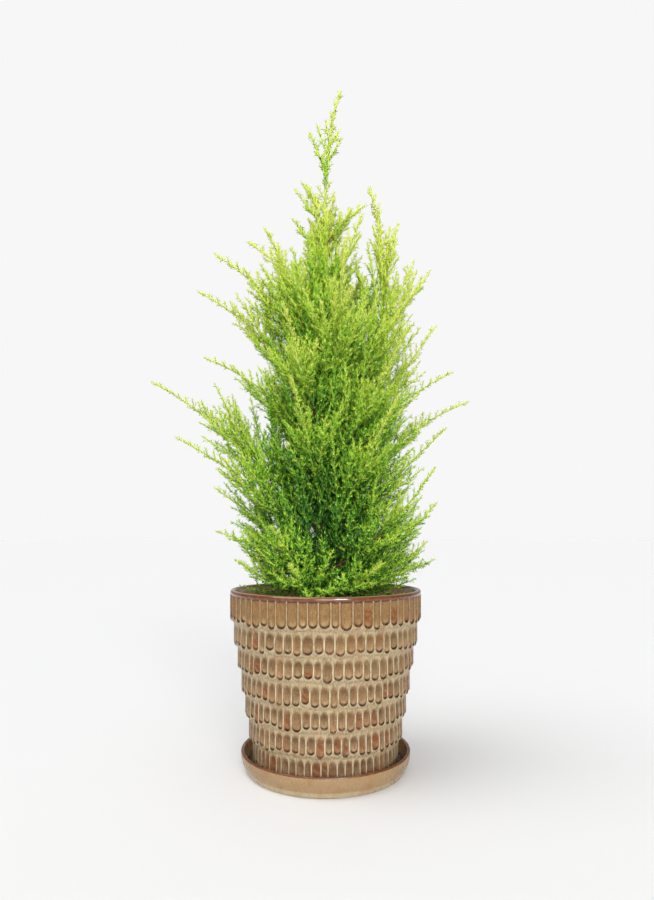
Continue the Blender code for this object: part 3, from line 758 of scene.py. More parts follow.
def trunk_point(height):
    """The trunk's axis, which leans in from its foot and sways a little from front to back."""
    lean = TRUNK_LEAN * math.exp(-(height - SOIL_TOP) / TRUNK_LEAN_HEIGHT)
    sway = TRUNK_SWAY * math.sin((height - SOIL_TOP) / (TRUNK_TOP - SOIL_TOP) * math.tau)
    return Vector((-lean, sway, height))


def trunk_radius(height):
    share = max(height - SOIL_TOP, 0) / (TRUNK_TOP - SOIL_TOP)
    return TRUNK_FOOT_RADIUS + (TRUNK_TOP_RADIUS - TRUNK_FOOT_RADIUS) * min(share, 1.0) ** TRUNK_TAPER


def crown_radius(height):
    """How far the crown reaches from the pot's axis at a height."""
    if height < CROWN_WIDEST_HEIGHT:
        share = (height - CROWN_FOOT_HEIGHT) / (CROWN_WIDEST_HEIGHT - CROWN_FOOT_HEIGHT)
        return CROWN_FOOT + (CROWN_WIDEST - CROWN_FOOT) * max(share, 0)
    rise = min((height - CROWN_WIDEST_HEIGHT) / CROWN_DOME, CROWN_DOME_END)
    return CROWN_WIDEST * math.sqrt(1 - rise * rise)


def face_boughs():
    """Boughs that fill the front and the back, on a rule of even steps up the trunk."""
    made = []
    for face, middle in (("front", 270), ("back", 90)):
        for step in range(FACE_BOUGHS):
            number = FACE_BOUGHS - step
            seed = 3 + step + (11 if face == "back" else 0)
            shift = FACE_BACK_SHIFT if face == "back" else 0.0
            root = FACE_LOWEST_ROOT + FACE_ROOT_STEP * step + shift
            rise = FACE_RISE + FACE_RISE_SPREAD * chance(seed, 1)
            if step == 0:
                rise *= FACE_LOWEST_RISE_SHARE
            swing = (FACE_SWING_LEAST + FACE_SWING_RANGE * chance(seed, 2)) * (1 if step % 2 else -1)
            tip = root + rise
            out = crown_radius(tip) * (FACE_OUT_LEAST + FACE_OUT_RANGE * chance(seed, 3))
            arch = FACE_ARCH_LEAST + FACE_ARCH_RANGE * chance(seed, 4)
            made.append(Bough(f"{face}_{number}", root, middle + swing, out, tip, arch))
    return made


def low_boughs():
    """The lowest boughs, all round the trunk."""
    made = []
    for number in range(LOW_BOUGHS):
        turn = LOW_FIRST_TURN + 360 / LOW_BOUGHS * number
        root = LOW_ROOT + LOW_ROOT_STEP * (number * 3 % LOW_BOUGHS) / 2
        out = LOW_OUT + LOW_OUT_SPREAD * (chance(number, 11) - 0.5)
        tip = LOW_TIP + LOW_TIP_SPREAD * chance(number, 12)
        made.append(Bough(f"low_{number + 1}", root, turn, out, tip, LOW_ARCH))
    return made


def all_boughs():
    return [*OUTLINE_BOUGHS, *face_boughs(), *low_boughs(), *TOP_BOUGHS]


def arched(root, tip, arch):
    chord = tip - root
    along = chord.normalized()
    above = (UP - along * UP.dot(along)).normalized()
    return root, (root + tip) / 2 + above * arch * chord.length, tip


def bough_curve(bough):
    """The root, middle and tip of the smooth curve that a bough follows from the trunk's axis."""
    turn = math.radians(bough.turn)
    tip = Vector((bough.out * math.cos(turn), bough.out * math.sin(turn), bough.tip))
    return arched(trunk_point(bough.root), tip, bough.arch)


def leader_curve():
    """The leading shoot, which goes on from the trunk's top and leans over."""
    root = trunk_point(TRUNK_TOP)
    bend = Vector((root.x, root.y, root.z + (LEADER_TIP.z - root.z) * LEADER_BEND_AT))
    return root, bend, LEADER_TIP


def on_curve(curve, share):
    root, middle, tip = curve
    return root.lerp(middle, share).lerp(middle.lerp(tip, share), share)


def curve_direction(curve, share):
    root, middle, tip = curve
    return ((middle - root).lerp(tip - middle, share)).normalized()


def curve_length(curve, steps=24):
    points = [on_curve(curve, i / steps) for i in range(steps + 1)]
    return sum((b - a).length for a, b in zip(points, points[1:]))


def side_direction(along, angle, spread, lift):
    """A direction that leaves another at a spread, round it by an angle, and turns up."""
    across = along.orthogonal().normalized()
    level = along.cross(UP)
    if level.length > 0.05:
        across = level.normalized()
    other = along.cross(across).normalized()
    aside = across * math.cos(angle) + other * math.sin(angle)
    return (along * math.cos(spread) + aside * math.sin(spread) + UP * lift).normalized()


def tube(points, radii, sides):
    """Points and quads of a round tube along a line, its ends left open."""
    placed = []
    across = None
    for i, (point, radius) in enumerate(zip(points, radii)):
        along = (points[min(i + 1, len(points) - 1)] - points[max(i - 1, 0)]).normalized()
        if across is None:
            across = along.orthogonal().normalized()
        across = (across - along * across.dot(along)).normalized()
        other = along.cross(across)
        for side in range(sides):
            angle = math.tau * side / sides
            placed.append(point + (across * math.cos(angle) + other * math.sin(angle)) * radius)
    return placed, ring_faces(len(points), sides).tolist()


class Pile:
    """Points and faces gathered into one mesh."""

    def __init__(self):
        self.points, self.faces = [], []

    def add(self, points, faces):
        start = len(self.points)
        self.points.extend(points)
        self.faces.extend(tuple(start + corner for corner in face) for face in faces)

    def made(self, name, material):
        """One object of all that was gathered."""
        return mesh_object(name, [tuple(point) for point in self.points], self.faces, material)


def keeps_out_of_pot(points):
    """For each point of an array, whether it is outside the pot's wall and above the soil."""
    away = np.hypot(points[:, 0], points[:, 1])
    inside = away < RIM_RADIUS - WALL - WALL_CLEARANCE
    over_soil = inside & (points[:, 2] > SOIL_TOP + CLEARANCE)
    over_rim = points[:, 2] > RIM_HEIGHT + RIM_CLEARANCE
    return over_soil | over_rim | (away > RIM_RADIUS + CLEARANCE)


class Needles:
    """Runs of needles along shoots, kept as arrays and turned into meshes shade by shade."""

    def __init__(self, look):
        self.look = look
        self.runs = []

    def along(self, root, tip, spacing, shade, seed):
        """Needles round a shoot from its root to its tip, longer and further apart high in the crown."""
        coarse = coarseness(tip.z)
        apart = spacing * (1 + self.look.upper_spacing * coarse)
        length = self.look.needle_length * (1 + self.look.upper_length * coarse)
        self.runs.append((*root, *tip, apart, length, shade, seed))

    def laid(self):
        """Roots, tips, headings, sides, shades and half widths of the needles that keep out of the pot."""
        runs = np.array(self.runs, np.float64)
        root, tip = runs[:, 0:3], runs[:, 3:6]
        apart, length, tone, seed = runs[:, 6:].T
        reach = np.linalg.norm(tip - root, axis=1)
        count = np.maximum((reach / apart).astype(int), 1) * 2
        which = np.repeat(np.arange(len(runs)), count)
        number = np.arange(len(which)) - np.repeat(np.cumsum(count) - count, count)
        pair = number // 2
        rng = np.random.default_rng(self.look.seed)
        share = (2 * pair + 1 + 0.5 * rng.random(len(which))) / (count[which] + 1)
        axis = ((tip - root) / reach[:, None])[which]
        spare = np.where(np.abs(axis[:, 2:3]) < 0.9, np.array([[0.0, 0, 1]]), np.array([[1.0, 0, 0]]))
        across = np.cross(axis, spare)
        across /= np.linalg.norm(across, axis=1)[:, None]
        other = np.cross(axis, across)
        angle = number * math.pi + pair * math.pi / 2 + seed[which] * math.tau
        angle += rng.normal(0, NEEDLE_TWIST, len(which))
        aside = across * np.cos(angle)[:, None] + other * np.sin(angle)[:, None]
        spread = self.look.needle_spread * (1.15 - 0.55 * share**2)
        spread *= rng.uniform(*NEEDLE_SPREAD_RANGE, len(which))
        heading = axis * np.cos(spread)[:, None] + aside * np.sin(spread)[:, None]
        heading[:, 2] += self.look.needle_lift
        heading /= np.linalg.norm(heading, axis=1)[:, None]
        size = length[which] * (1.05 - 0.35 * share**3) * rng.uniform(*NEEDLE_LENGTH_RANGE, len(which))
        start = root[which] + (tip - root)[which] * share[:, None]
        end = start + heading * size[:, None]
        shade = tone[which] + rng.normal(0, self.look.shade_scatter, len(which)) + 0.7 * share - 0.35
        # Painted light from above: needles that point up are paler, those that point down darker
        shade += self.look.lit_upper_side * aside[:, 2]
        half = self.look.needle_width / 2 * size / self.look.needle_length
        kept = keeps_out_of_pot(end) & keeps_out_of_pot(start)
        return start[kept], end[kept], heading[kept], aside[kept], shade[kept], half[kept, None]

    def meshes(self, shades):
        """For each shade its needles, each as its point and the three corners of its root."""
        start, end, heading, aside, shade, half = self.laid()
        level = np.clip(np.round(shade), 0, shades - 1).astype(int)
        sideways = np.cross(heading, aside)
        sideways /= np.linalg.norm(sideways, axis=1)[:, None]
        upper = np.cross(sideways, heading)
        corners = (end, start + sideways * half, start - sideways * half, start + upper * half)
        spikes = np.stack(corners, axis=1)
        for number in range(shades):
            yield number, spikes[level == number]


def fast_mesh(name, points, faces, material):
    """An object from arrays of points and triangles."""
    mesh = bpy.data.meshes.new(name)
    mesh.vertices.add(len(points))
    mesh.vertices.foreach_set("co", points.astype(np.float32).ravel())
    mesh.loops.add(faces.size)
    mesh.loops.foreach_set("vertex_index", faces.astype(np.int32).ravel())
    mesh.polygons.add(len(faces))
    mesh.polygons.foreach_set("loop_start", np.arange(0, faces.size, 3, dtype=np.int32))
    mesh.update(calc_edges=True)
    mesh.materials.append(material)
    return linked(name, mesh)


class CypressPot(bpy.types.PropertyGroup):
    """The pot's flutes."""

    flutes: bpy.props.IntProperty(name="Flutes", description="Flutes in each row", default=62, min=20)
    flute_depth: bpy.props.FloatProperty(
        name="Depth",
        description="Depth of a flute at its top",
        default=0.0011,
        unit="LENGTH",
        subtype="DISTANCE",
    )
    ridge_width: bpy.props.FloatProperty(
        name="Ridge", description="Width of the ridge between flutes", default=0.0008, unit="LENGTH"
    )
    end_unevenness: bpy.props.FloatProperty(
        name="End unevenness",
        description="Height that the ends of a row are spread over",
        default=0.0032,
        unit="LENGTH",
    )
    unevenness: bpy.props.FloatProperty(
        name="Unevenness", description="Share of a flute's width that it is out of place", default=0.26
    )
    rust_share: bpy.props.FloatProperty(
        name="Rust", description="Share of flutes with rust-brown glaze", default=0.26
    )


class CypressCrown(bpy.types.PropertyGroup):
    """The crown's shoots and needles."""

    seed: bpy.props.IntProperty(name="Seed", description="Seed of the needles' small differences", default=7)
    shoot_spacing: bpy.props.FloatProperty(
        name="Shoot spacing", description="Stem between two side shoots", default=0.0034, unit="LENGTH"
    )
    shoot_first: bpy.props.FloatProperty(
        name="First shoot", description="Stem beyond the last side shoot", default=0.006, unit="LENGTH"
    )
    bare_foot: bpy.props.FloatProperty(
        name="Bare foot", description="Stem by the trunk with no side shoots", default=0.006, unit="LENGTH"
    )
    shoot_ratio: bpy.props.FloatProperty(
        name="Shoot ratio",
        description="Length of a side shoot over its distance from the stem's tip",
        default=0.46,
    )
    full_share: bpy.props.FloatProperty(
        name="Full share",
        description="Share of the stem back from its tip where side shoots are full",
        default=0.58,
    )
    tip_slimness: bpy.props.FloatProperty(
        name="Tip slimness", description="How fast side shoots shorten towards the tip", default=1.6
    )
    leader_slimness: bpy.props.FloatProperty(
        name="Leader slimness",
        description="How fast the two leaders' side shoots shorten towards the tip",
        default=0.35,
    )
    fullest: bpy.props.FloatProperty(
        name="Fullest", description="Most that a side shoot's length is raised near the trunk", default=1.38
    )
    shoot_least: bpy.props.FloatProperty(
        name="Shortest shoot", description="Length of a side shoot by the tip", default=0.0034, unit="LENGTH"
    )
    shoot_most: bpy.props.FloatProperty(
        name="Longest shoot", description="Length of the longest side shoot", default=0.062, unit="LENGTH"
    )
    fork_spacing: bpy.props.FloatProperty(
        name="Fork spacing", description="Side shoot between two of its own", default=0.0066, unit="LENGTH"
    )
    fork_least: bpy.props.FloatProperty(
        name="First fork", description="Side shoot beyond the last of its own", default=0.0140, unit="LENGTH"
    )
    fork_ratio: bpy.props.FloatProperty(
        name="Fork ratio", description="Length of a fork over its distance from the shoot's tip", default=0.46
    )
    twig_spacing: bpy.props.FloatProperty(
        name="Twig spacing", description="Shoot between two of its twigs", default=0.0030, unit="LENGTH"
    )
    twig_first: bpy.props.FloatProperty(
        name="First twig", description="Shoot beyond its last twig", default=0.0030, unit="LENGTH"
    )
    twig_ratio: bpy.props.FloatProperty(
        name="Twig ratio", description="Length of a twig over its distance from the shoot's tip", default=0.30
    )
    twig_least: bpy.props.FloatProperty(
        name="Shortest twig", description="Length of the shortest twig", default=0.0018, unit="LENGTH"
    )
    twig_most: bpy.props.FloatProperty(
        name="Longest twig", description="Length of the longest twig", default=0.0066, unit="LENGTH"
    )
    needle_spacing: bpy.props.FloatProperty(
        name="Needle spacing", description="Twig between two needles", default=0.00143, unit="LENGTH"
    )
    needle_length: bpy.props.FloatProperty(
        name="Needle length", description="Length of a needle", default=0.0023, unit="LENGTH"
    )
    low_vigour: bpy.props.FloatProperty(
        name="Low vigour",
        description="Share by which the side shoots of the lowest boughs are longer",
        default=0.45,
    )
    upper_apart: bpy.props.FloatProperty(
        name="Upper apart", description="Share by which side shoots are further apart at the top", default=0.6
    )
    upper_length: bpy.props.FloatProperty(
        name="Upper length", description="Share by which needles are longer at the crown's top", default=0.45
    )
    upper_spacing: bpy.props.FloatProperty(
        name="Upper spacing",
        description="Share by which shoots are further apart at the crown's top",
        default=0.15,
    )
    needle_width: bpy.props.FloatProperty(
        name="Needle width", description="Width of a needle", default=0.0010, unit="LENGTH"
    )
    needle_spread: bpy.props.FloatProperty(
        name="Needle spread",
        description="Angle between a needle and its twig",
        default=math.radians(47),
        unit="ROTATION",
    )
    needle_lift: bpy.props.FloatProperty(
        name="Needle lift", description="How far needles turn up", default=0.12
    )
    # Painted light: needles on a twig's upper side are paler and those on its lower side darker, as if lit
    # from above
    lit_upper_side: bpy.props.FloatProperty(
        name="Upper paler",
        description="How much paler the needles on a twig's upper side are",
        default=1.9,
    )
    shade_scatter: bpy.props.FloatProperty(
        name="Shade scatter", description="How far needles of one twig differ in shade", default=0.75
    )


class CypressStage(bpy.types.PropertyGroup):
    """The camera, the light and the floor."""

    lens: bpy.props.FloatProperty(name="Lens", description="Focal length in millimetres", default=24.72)
    distance: bpy.props.FloatProperty(
        name="Distance", description="Camera's distance from the pot's axis", default=0.490, unit="LENGTH"
    )
    side: bpy.props.FloatProperty(
        name="Side", description="Camera's place along X", default=0.0011, unit="LENGTH"
    )
    height: bpy.props.FloatProperty(
        name="Height", description="Camera's height", default=0.1816, unit="LENGTH"
    )
    shift: bpy.props.FloatProperty(name="Shift", description="Lens shift up", default=0.0967)
    sun: bpy.props.FloatProperty(name="Sun", description="Strength of the light from the left", default=0.82)
    panel: bpy.props.FloatProperty(
        name="Panel", description="Power of the panel that only shows as a gloss, in watts", default=16.0
    )
    fill: bpy.props.FloatProperty(
        name="Fill", description="Strength of the light from all round", default=0.41
    )
    side_fill: bpy.props.FloatProperty(
        name="Side fill",
        description="Share of the light from all round that comes from the sides",
        default=0.25,
    )
    front: bpy.props.FloatProperty(name="Front", description="Strength of the low front light", default=2.2)
    top: bpy.props.FloatProperty(name="Top", description="Strength of the light from above", default=1.02)
    backdrop: bpy.props.FloatProperty(
        name="Backdrop", description="Brightness behind the floor", default=0.93
    )


class CYPRESS_OT_pot(bpy.types.Operator):
    """Make the fluted pot with its lip and inner wall"""

    bl_idname = "cypress.pot"
    bl_label = "Fluted pot"

    def execute(self, context):
        glaze = glaze_material("pot_glaze", specular=0.10, streaky=0.50)
        points, faces, colours = fluted_wall(context.scene.cypress_pot)
        wall = mesh_object("glazed_pot", points.tolist(), faces.tolist(), glaze)
        lay_colours(wall.data, colours)
        half = WALL / 2
        centre = (RIM_RADIUS - half, RIM_HEIGHT - half)
        under = RIM_HEIGHT - LIP_HEIGHT
        outer = [(TOP_ROW_RADIUS + out, under + up, colour) for out, up, colour in LIP_UNDERSIDE]
        lip = [point for stretch in LIP_ARCS for point in arc(centre, half, *stretch)]
        heights = np.linspace(centre[1] - INNER_BELOW_LIP, SOIL_TOP - INNER_BELOW_SOIL, INNER_RINGS)
        inner = [(inner_radius(height), height, INNER_TAN) for height in heights]
        rim = banded_turning("pot_lip", outer + lip + inner, lip_material(), LIP_WOBBLE)
        replace(wall, "tan_glaze", "pot")
        replace(rim, "tan_glaze")
        return {"FINISHED"}


class CYPRESS_OT_saucer(bpy.types.Operator):
    """Make the glazed saucer"""

    bl_idname = "cypress.saucer"
    bl_label = "Glazed saucer"

    def execute(self, context):
        glaze = glaze_material("saucer_glaze", specular=0.40, streaky=0.16)
        foot = [(CENTRE_RADIUS, 0.0002, SAUCER_EDGE), (SAUCER_FOOT_RADIUS - 0.002, 0.0, SAUCER_EDGE)]
        foot += arc((SAUCER_FOOT_RADIUS, SAUCER_FOOT_ROUND), SAUCER_FOOT_ROUND, -90, -20, 6, SAUCER_EDGE)
        side = []
        for ring in range(1, SAUCER_SIDE_RINGS + 1):
            share = ring / SAUCER_SIDE_RINGS
            height = SAUCER_SIDE_FROM + (SAUCER_HEIGHT - SAUCER_SIDE_FROM - SAUCER_SIDE_SHORT) * share
            radius = SAUCER_RADIUS - SAUCER_FLARE * (1 - share) ** SAUCER_FLARE_POWER
            side.append((radius, height, SAUCER_EDGE if ring == 1 else SAUCER_TAN))
        half = SAUCER_WALL / 2
        rim = arc((SAUCER_RADIUS - half, SAUCER_HEIGHT - half), half, 0, 180, 10, SAUCER_TAN)
        rim = [(r, h, SAUCER_RUST if 1 <= i <= 6 else SAUCER_TAN) for i, (r, h, _) in enumerate(rim)]
        inner = SAUCER_RADIUS - SAUCER_WALL
        inside = [(inner - inset, height, colour) for inset, height, colour in SAUCER_INSIDE]
        # Painted shade runs on to the middle of the saucer's floor, under the pot
        inside.append((CENTRE_RADIUS, SAUCER_FLOOR, PAINTED_SHADE_BROWN))
        made = banded_turning("glazed_saucer", foot + side + rim + inside, glaze, SAUCER_WOBBLE)
        replace(made, "tan_glaze", "saucer")
        return {"FINISHED"}


def soil_points(edge):
    """The lumpy top of the potting mix, ring by ring from its middle, sunk a little at its edge."""
    points = []
    for ring in range(SOIL_RINGS + 1):
        away = edge * ring / SOIL_RINGS
        sink = SOIL_EDGE_SINK * smooth((ring / SOIL_RINGS - 0.9) * 10)
        for side in range(SOIL_SIDES):
            turn = math.tau * side / SOIL_SIDES
            x, y = away * math.cos(turn), away * math.sin(turn)
            lumps = noise.fractal(Vector((x, y, 0.3)) * SOIL_LUMP_PITCH, 1.0, 2.1, 4) * SOIL_LUMP
            points.append((x, y, SOIL_TOP + lumps - SOIL_SINK - sink))
    return points


def crumb(centre, size, seed):
    """An uneven eight-cornered grain."""
    points = []
    for corner in range(8):
        way = Vector((corner & 1, corner >> 1 & 1, corner >> 2 & 1)) * 2 - Vector((1, 1, 1))
        reach = size * (0.45 + 0.35 * chance(seed, corner, 34))
        points.append(centre + Matrix.Rotation(seed, 3, "Z") @ (way * reach))
    faces = [(0, 2, 3, 1), (4, 5, 7, 6), (0, 1, 5, 4), (2, 6, 7, 3), (0, 4, 6, 2), (1, 3, 7, 5)]
    return points, faces


class CYPRESS_OT_soil(bpy.types.Operator):
    """Make the potting mix with its crumbs"""

    bl_idname = "cypress.soil"
    bl_label = "Potting mix"

    def execute(self, context):
        edge = inner_radius(SOIL_TOP) - SOIL_GAP
        pile = Pile()
        # The rings run outwards, so their faces are turned over to face up
        pile.add(soil_points(edge), ring_faces(SOIL_RINGS + 1, SOIL_SIDES)[:, (0, 3, 2, 1)].tolist())
        for number in range(CRUMBS):
            turn = math.tau * chance(number, 31)
            away = (edge - CRUMB_INSET) * math.sqrt(chance(number, 32))
            size = CRUMB_LEAST + CRUMB_RANGE * chance(number, 33) ** 2
            centre = Vector((away * math.cos(turn), away * math.sin(turn), SOIL_TOP + size * 0.3))
            pile.add(*crumb(centre, size, number))
        replace(pile.made("potting_mix", earth_material()), "potting_soil", "soil")
        return {"FINISHED"}


def grain(point, across, upward):
    """A noise at a point, with one pitch across the stem and one up it."""
    return noise.noise(Vector((point.x * across, point.y * across, point.z * upward)))


def bark_relief(point, depth):
    """How far the bark stands out at a point: long plates and fine fibres."""
    return depth * (grain(point, 420, 70) + 0.5 * grain(point, 1500, 160))


def trunk_bark():
    """The trunk's rings of points, with its lobed root flare and its bark in relief."""
    points = []
    for ring in range(TRUNK_RINGS + 1):
        share = (ring / TRUNK_RINGS) ** TRUNK_RING_POWER
        height = SOIL_TOP - TRUNK_SUNK + (BARK_TOP - SOIL_TOP + TRUNK_SUNK) * share
        axis = trunk_point(height)
        for side in range(TRUNK_SIDES):
            turn = math.tau * side / TRUNK_SIDES
            lobes = 1 + ROOT_LOBE_SHARE * math.cos(ROOT_LOBES * turn)
            flare = ROOT_FLARE * math.exp(-max(height - SOIL_TOP, 0) / ROOT_FLARE_HEIGHT) * lobes
            radius = trunk_radius(height) + flare
            way = Vector((math.cos(turn), math.sin(turn), 0))
            point = axis + way * radius
            points.append(point + way * bark_relief(point, radius * TRUNK_RELIEF))
    return points


def bough_bark(bough):
    """Points and faces of a bough's foot, as far out as it is bare."""
    curve = bough_curve(bough)
    last = LIMB_SHOWN - LIMB_SHOWN_LESS * coarseness(bough.tip)
    line = [on_curve(curve, last * i / LIMB_RINGS) for i in range(LIMB_RINGS + 1)]
    thick = min(LIMB_ROOT_RADIUS, trunk_radius(bough.root) * LIMB_TO_TRUNK)
    radii = [thick + (LIMB_END_RADIUS - thick) * (i / LIMB_RINGS) for i in range(LIMB_RINGS + 1)]
    radii[0] = thick * LIMB_COLLAR
    return tube(line, radii, LIMB_SIDES)


class CYPRESS_OT_wood(bpy.types.Operator):
    """Make the trunk and the woody boughs with bark in relief"""

    bl_idname = "cypress.wood"
    bl_label = "Trunk and boughs"

    def execute(self, context):
        bark = bark_material()
        trunk, boughs = Pile(), Pile()
        trunk.add(trunk_bark(), ring_faces(TRUNK_RINGS + 1, TRUNK_SIDES).tolist())
        for bough in all_boughs():
            boughs.add(*bough_bark(bough))
        limbs = [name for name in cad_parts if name.startswith("bough_")]
        replace(trunk.made("bark_of_trunk", bark), "bark", "trunk")
        replace(boughs.made("bark_of_boughs", bark), "bark", *limbs)
        return {"FINISHED"}


def coarseness(height):
    """0 low in the crown and 1 by its top, where shoots are fewer and their needles longer."""
    return float(smooth((height - COARSE_FROM) / COARSE_RANGE))


def shade_at(point, outward):
    """The shade of green at a place, from 0, deep, to the last, pale: paler high up and far out. That is
    partly golden young growth and partly painted light from above, and the deep inside is painted shade.
    """
    rise = smooth((point.z - SHADE_RISE_FROM) / SHADE_RISE_RANGE)
    reach = max(crown_radius(min(point.z, REACH_HEIGHT_MOST)), REACH_LEAST)
    away = math.hypot(point.x, point.y) / reach
    far_out = smooth((away - SHADE_REACH_FROM) / SHADE_REACH_RANGE)
    outer = max(far_out, smooth((point.z - SHADE_TOP_FROM) / SHADE_TOP_RANGE))
    return float(SHADE_BY_RISE * rise + SHADE_BY_REACH * outer + SHADE_OUTWARD * outward + SHADE_DEEPEST)


class CYPRESS_OT_foliage(bpy.types.Operator):
    """Grow the shoots, twigs and needles of every mass of foliage"""

    bl_idname = "cypress.foliage"
    bl_label = "Foliage"

    def execute(self, context):
        look = context.scene.cypress_crown
        grown = Growth(look, Needles(look), Pile())
        boughs = all_boughs()
        for seed, bough in enumerate(boughs):
            low = float(smooth((VIGOUR_TIP - bough.tip) / VIGOUR_RANGE))
            slimness = look.tip_slimness * (1 - SLIMNESS_EASE * max(low, coarseness(bough.tip)))
            if bough.name == "second_leader":
                slimness = look.leader_slimness
            grow_stem(grown, seed, bough_curve(bough), 1 + look.low_vigour * low, slimness)
        leader, seed = leader_curve(), len(boughs)
        grow_stem(grown, seed, leader, LEADER_RATIO, look.leader_slimness, green_from=0.0, thick=0.0009)
        heights = (TRUNK_SHOOTS_FROM, (TRUNK_SHOOTS_FROM + TRUNK_TOP) / 2, TRUNK_TOP)
        upper = tuple(trunk_point(height) for height in heights)
        beyond = curve_length(leader)
        grow_stem(grown, seed + 1, upper, TRUNK_SHOOTS_RATIO, 1.0, beyond, green_from=0.5, thick=0.0013)
        stems = grown.twigs.made("green_twigs", plain_material("green_twig", GREEN_TWIG, 0.6))
        masses = [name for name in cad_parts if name.startswith("foliage_")]
        replace(stems, "golden_needles", *masses)
        for number, spikes in grown.needles.meshes(len(NEEDLE_SHADES)):
            material = plain_material(f"needle_green_{number + 1}", NEEDLE_SHADES[number], 0.5, 0.2)
            for part, start in enumerate(range(0, len(spikes), NEEDLES_A_PIECE)):
                own = spikes[start : start + NEEDLES_A_PIECE]
                first = np.arange(len(own))[:, None] * 4
                faces = np.concatenate([first + np.array(face) for face in SPIKE_FACES])
                piece = fast_mesh(f"needles_{number + 1}_{part + 1}", own.reshape(-1, 3), faces, material)
                replace(piece, "golden_needles")
        return {"FINISHED"}


def grow_stem(grown, seed, curve, vigour, slimness, beyond=0.0, green_from=0.4, thick=0.0008):
    """A mass: its stem, the side shoots by steps back from the tip, and the needles at its tip."""
    look = grown.look
    whole = curve_length(curve)
    line = [on_curve(curve, i / STEM_SAMPLES) for i in range(STEM_SAMPLES + 1)]
    gone = np.concatenate([[0], np.cumsum([(b - a).length for a, b in zip(line, line[1:])])])

    def share_back(back):
        return float(np.interp(whole - back, gone, np.arange(STEM_SAMPLES + 1) / STEM_SAMPLES))

    rings = range(STEM_RINGS + 1)
    last = thick * STEM_TAPER if beyond else STEM_TIP_RADIUS
    stem_points = [on_curve(curve, green_from + (1 - green_from) * i / STEM_RINGS) for i in rings]
    stem_radii = [thick + (last - thick) * i / STEM_RINGS for i in rings]
    grown.twigs.add(*tube(stem_points, stem_radii, STEM_SIDES))
    top = min(TIP_LENGTH, whole * 0.5)
    ends = [on_curve(curve, share_back(top * (TIP_RUNS - i) / TIP_RUNS)) for i in range(TIP_RUNS + 1)]
    for i, (a, b) in enumerate(zip(ends, ends[1:])):
        spacing = look.needle_spacing * (1.0 - 0.4 * i / (TIP_RUNS - 1))
        grown.needles.along(a, b, spacing, shade_at(b, 1.0), chance(seed, i, 41))
    near, step = look.shoot_first * (beyond == 0) - look.shoot_spacing, -1
    while near < whole - look.bare_foot:
        step += 1
        share = share_back(max(near, 0))
        near += look.shoot_spacing * (1 + look.upper_apart * coarseness(on_curve(curve, share).z))
        share = share_back(near)
        back = near + beyond
        angle = SHOOT_TURN * step + math.tau * chance(seed, 5)
        spread = SHOOT_SPREAD + SHOOT_SPREAD_RANGE * (chance(seed, step, 6) - 0.5)
        fullness = min((back / (whole + beyond) / look.full_share) ** slimness, look.fullest)
        growth = look.shoot_ratio * fullness * vigour * varied(seed, step, 7)
        length = min(back * growth + look.shoot_least, look.shoot_most)
        direction = side_direction(curve_direction(curve, share), angle, spread, SHOOT_LIFT)
        grow_shoot(grown, (seed, step), on_curve(curve, share), direction, length, 1 - near / whole)


def grow_shoot(grown, seed, root, direction, length, outward, forks=True):
    """A side shoot that curves up, with side shoots of its own if it is long, its twigs and its needles."""
    look, needles = grown.look, grown.needles
    tip = root + direction * length + UP * length * SHOOT_RISE
    curve = (root, root.lerp(tip, 0.5) - UP * length * SHOOT_SAG, tip)
    ends = np.array([tuple(on_curve(curve, s)) for s in (0.4, 0.7, 1.0)])
    if not keeps_out_of_pot(ends).all():
        return
    runs = len(SHOOT_RADII) - 1
    line = [on_curve(curve, i / runs) for i in range(runs + 1)]
    grown.twigs.add(*tube(line, SHOOT_RADII, SHOOT_SIDES))
    shade = shade_at(tip, outward) + 1.3 * (chance(*seed, 42) - 0.5)
    for number, (a, b) in enumerate(zip(line, line[1:])):
        needles.along(a, b, look.needle_spacing, shade + (number - 2) * 0.45, chance(*seed, 43))
    if forks:
        for number in range(int((length - look.fork_least) / look.fork_spacing) + 1):
            back = look.fork_least + look.fork_spacing * number
            if back > length * 0.9:
                break
            share = 1 - back / length
            angle = GOLDEN_ANGLE * number + math.tau * chance(*seed, 48)
            heading = side_direction(curve_direction(curve, share), angle, FORK_SPREAD, FORK_LIFT)
            reach = back * look.fork_ratio * varied(*seed, number, 49)
            own_seed = (seed[0] * 61 + seed[1], number)
            grow_shoot(grown, own_seed, on_curve(curve, share), heading, reach, outward * 0.8, False)
    apart = look.twig_spacing * (1 + look.upper_apart * coarseness(root.z))
    for number in range(int((length - look.twig_first) / apart) + 1):
        back = look.twig_first + apart * number
        share = 1 - back / length
        if share < TWIG_NEAREST:
            break
        reach = min(back * look.twig_ratio + look.twig_least, look.twig_most)
        reach *= varied(*seed, number, 44)
        angle = GOLDEN_ANGLE * number + math.tau * chance(*seed, 45)
        heading = side_direction(curve_direction(curve, share), angle, TWIG_SPREAD, TWIG_LIFT)
        start = on_curve(curve, share)
        paler = shade + 0.7 * share - 0.35 + 0.8 * (chance(*seed, number, 46) - 0.5)
        needles.along(start, start + heading * reach, look.needle_spacing, paler, chance(number, 47))


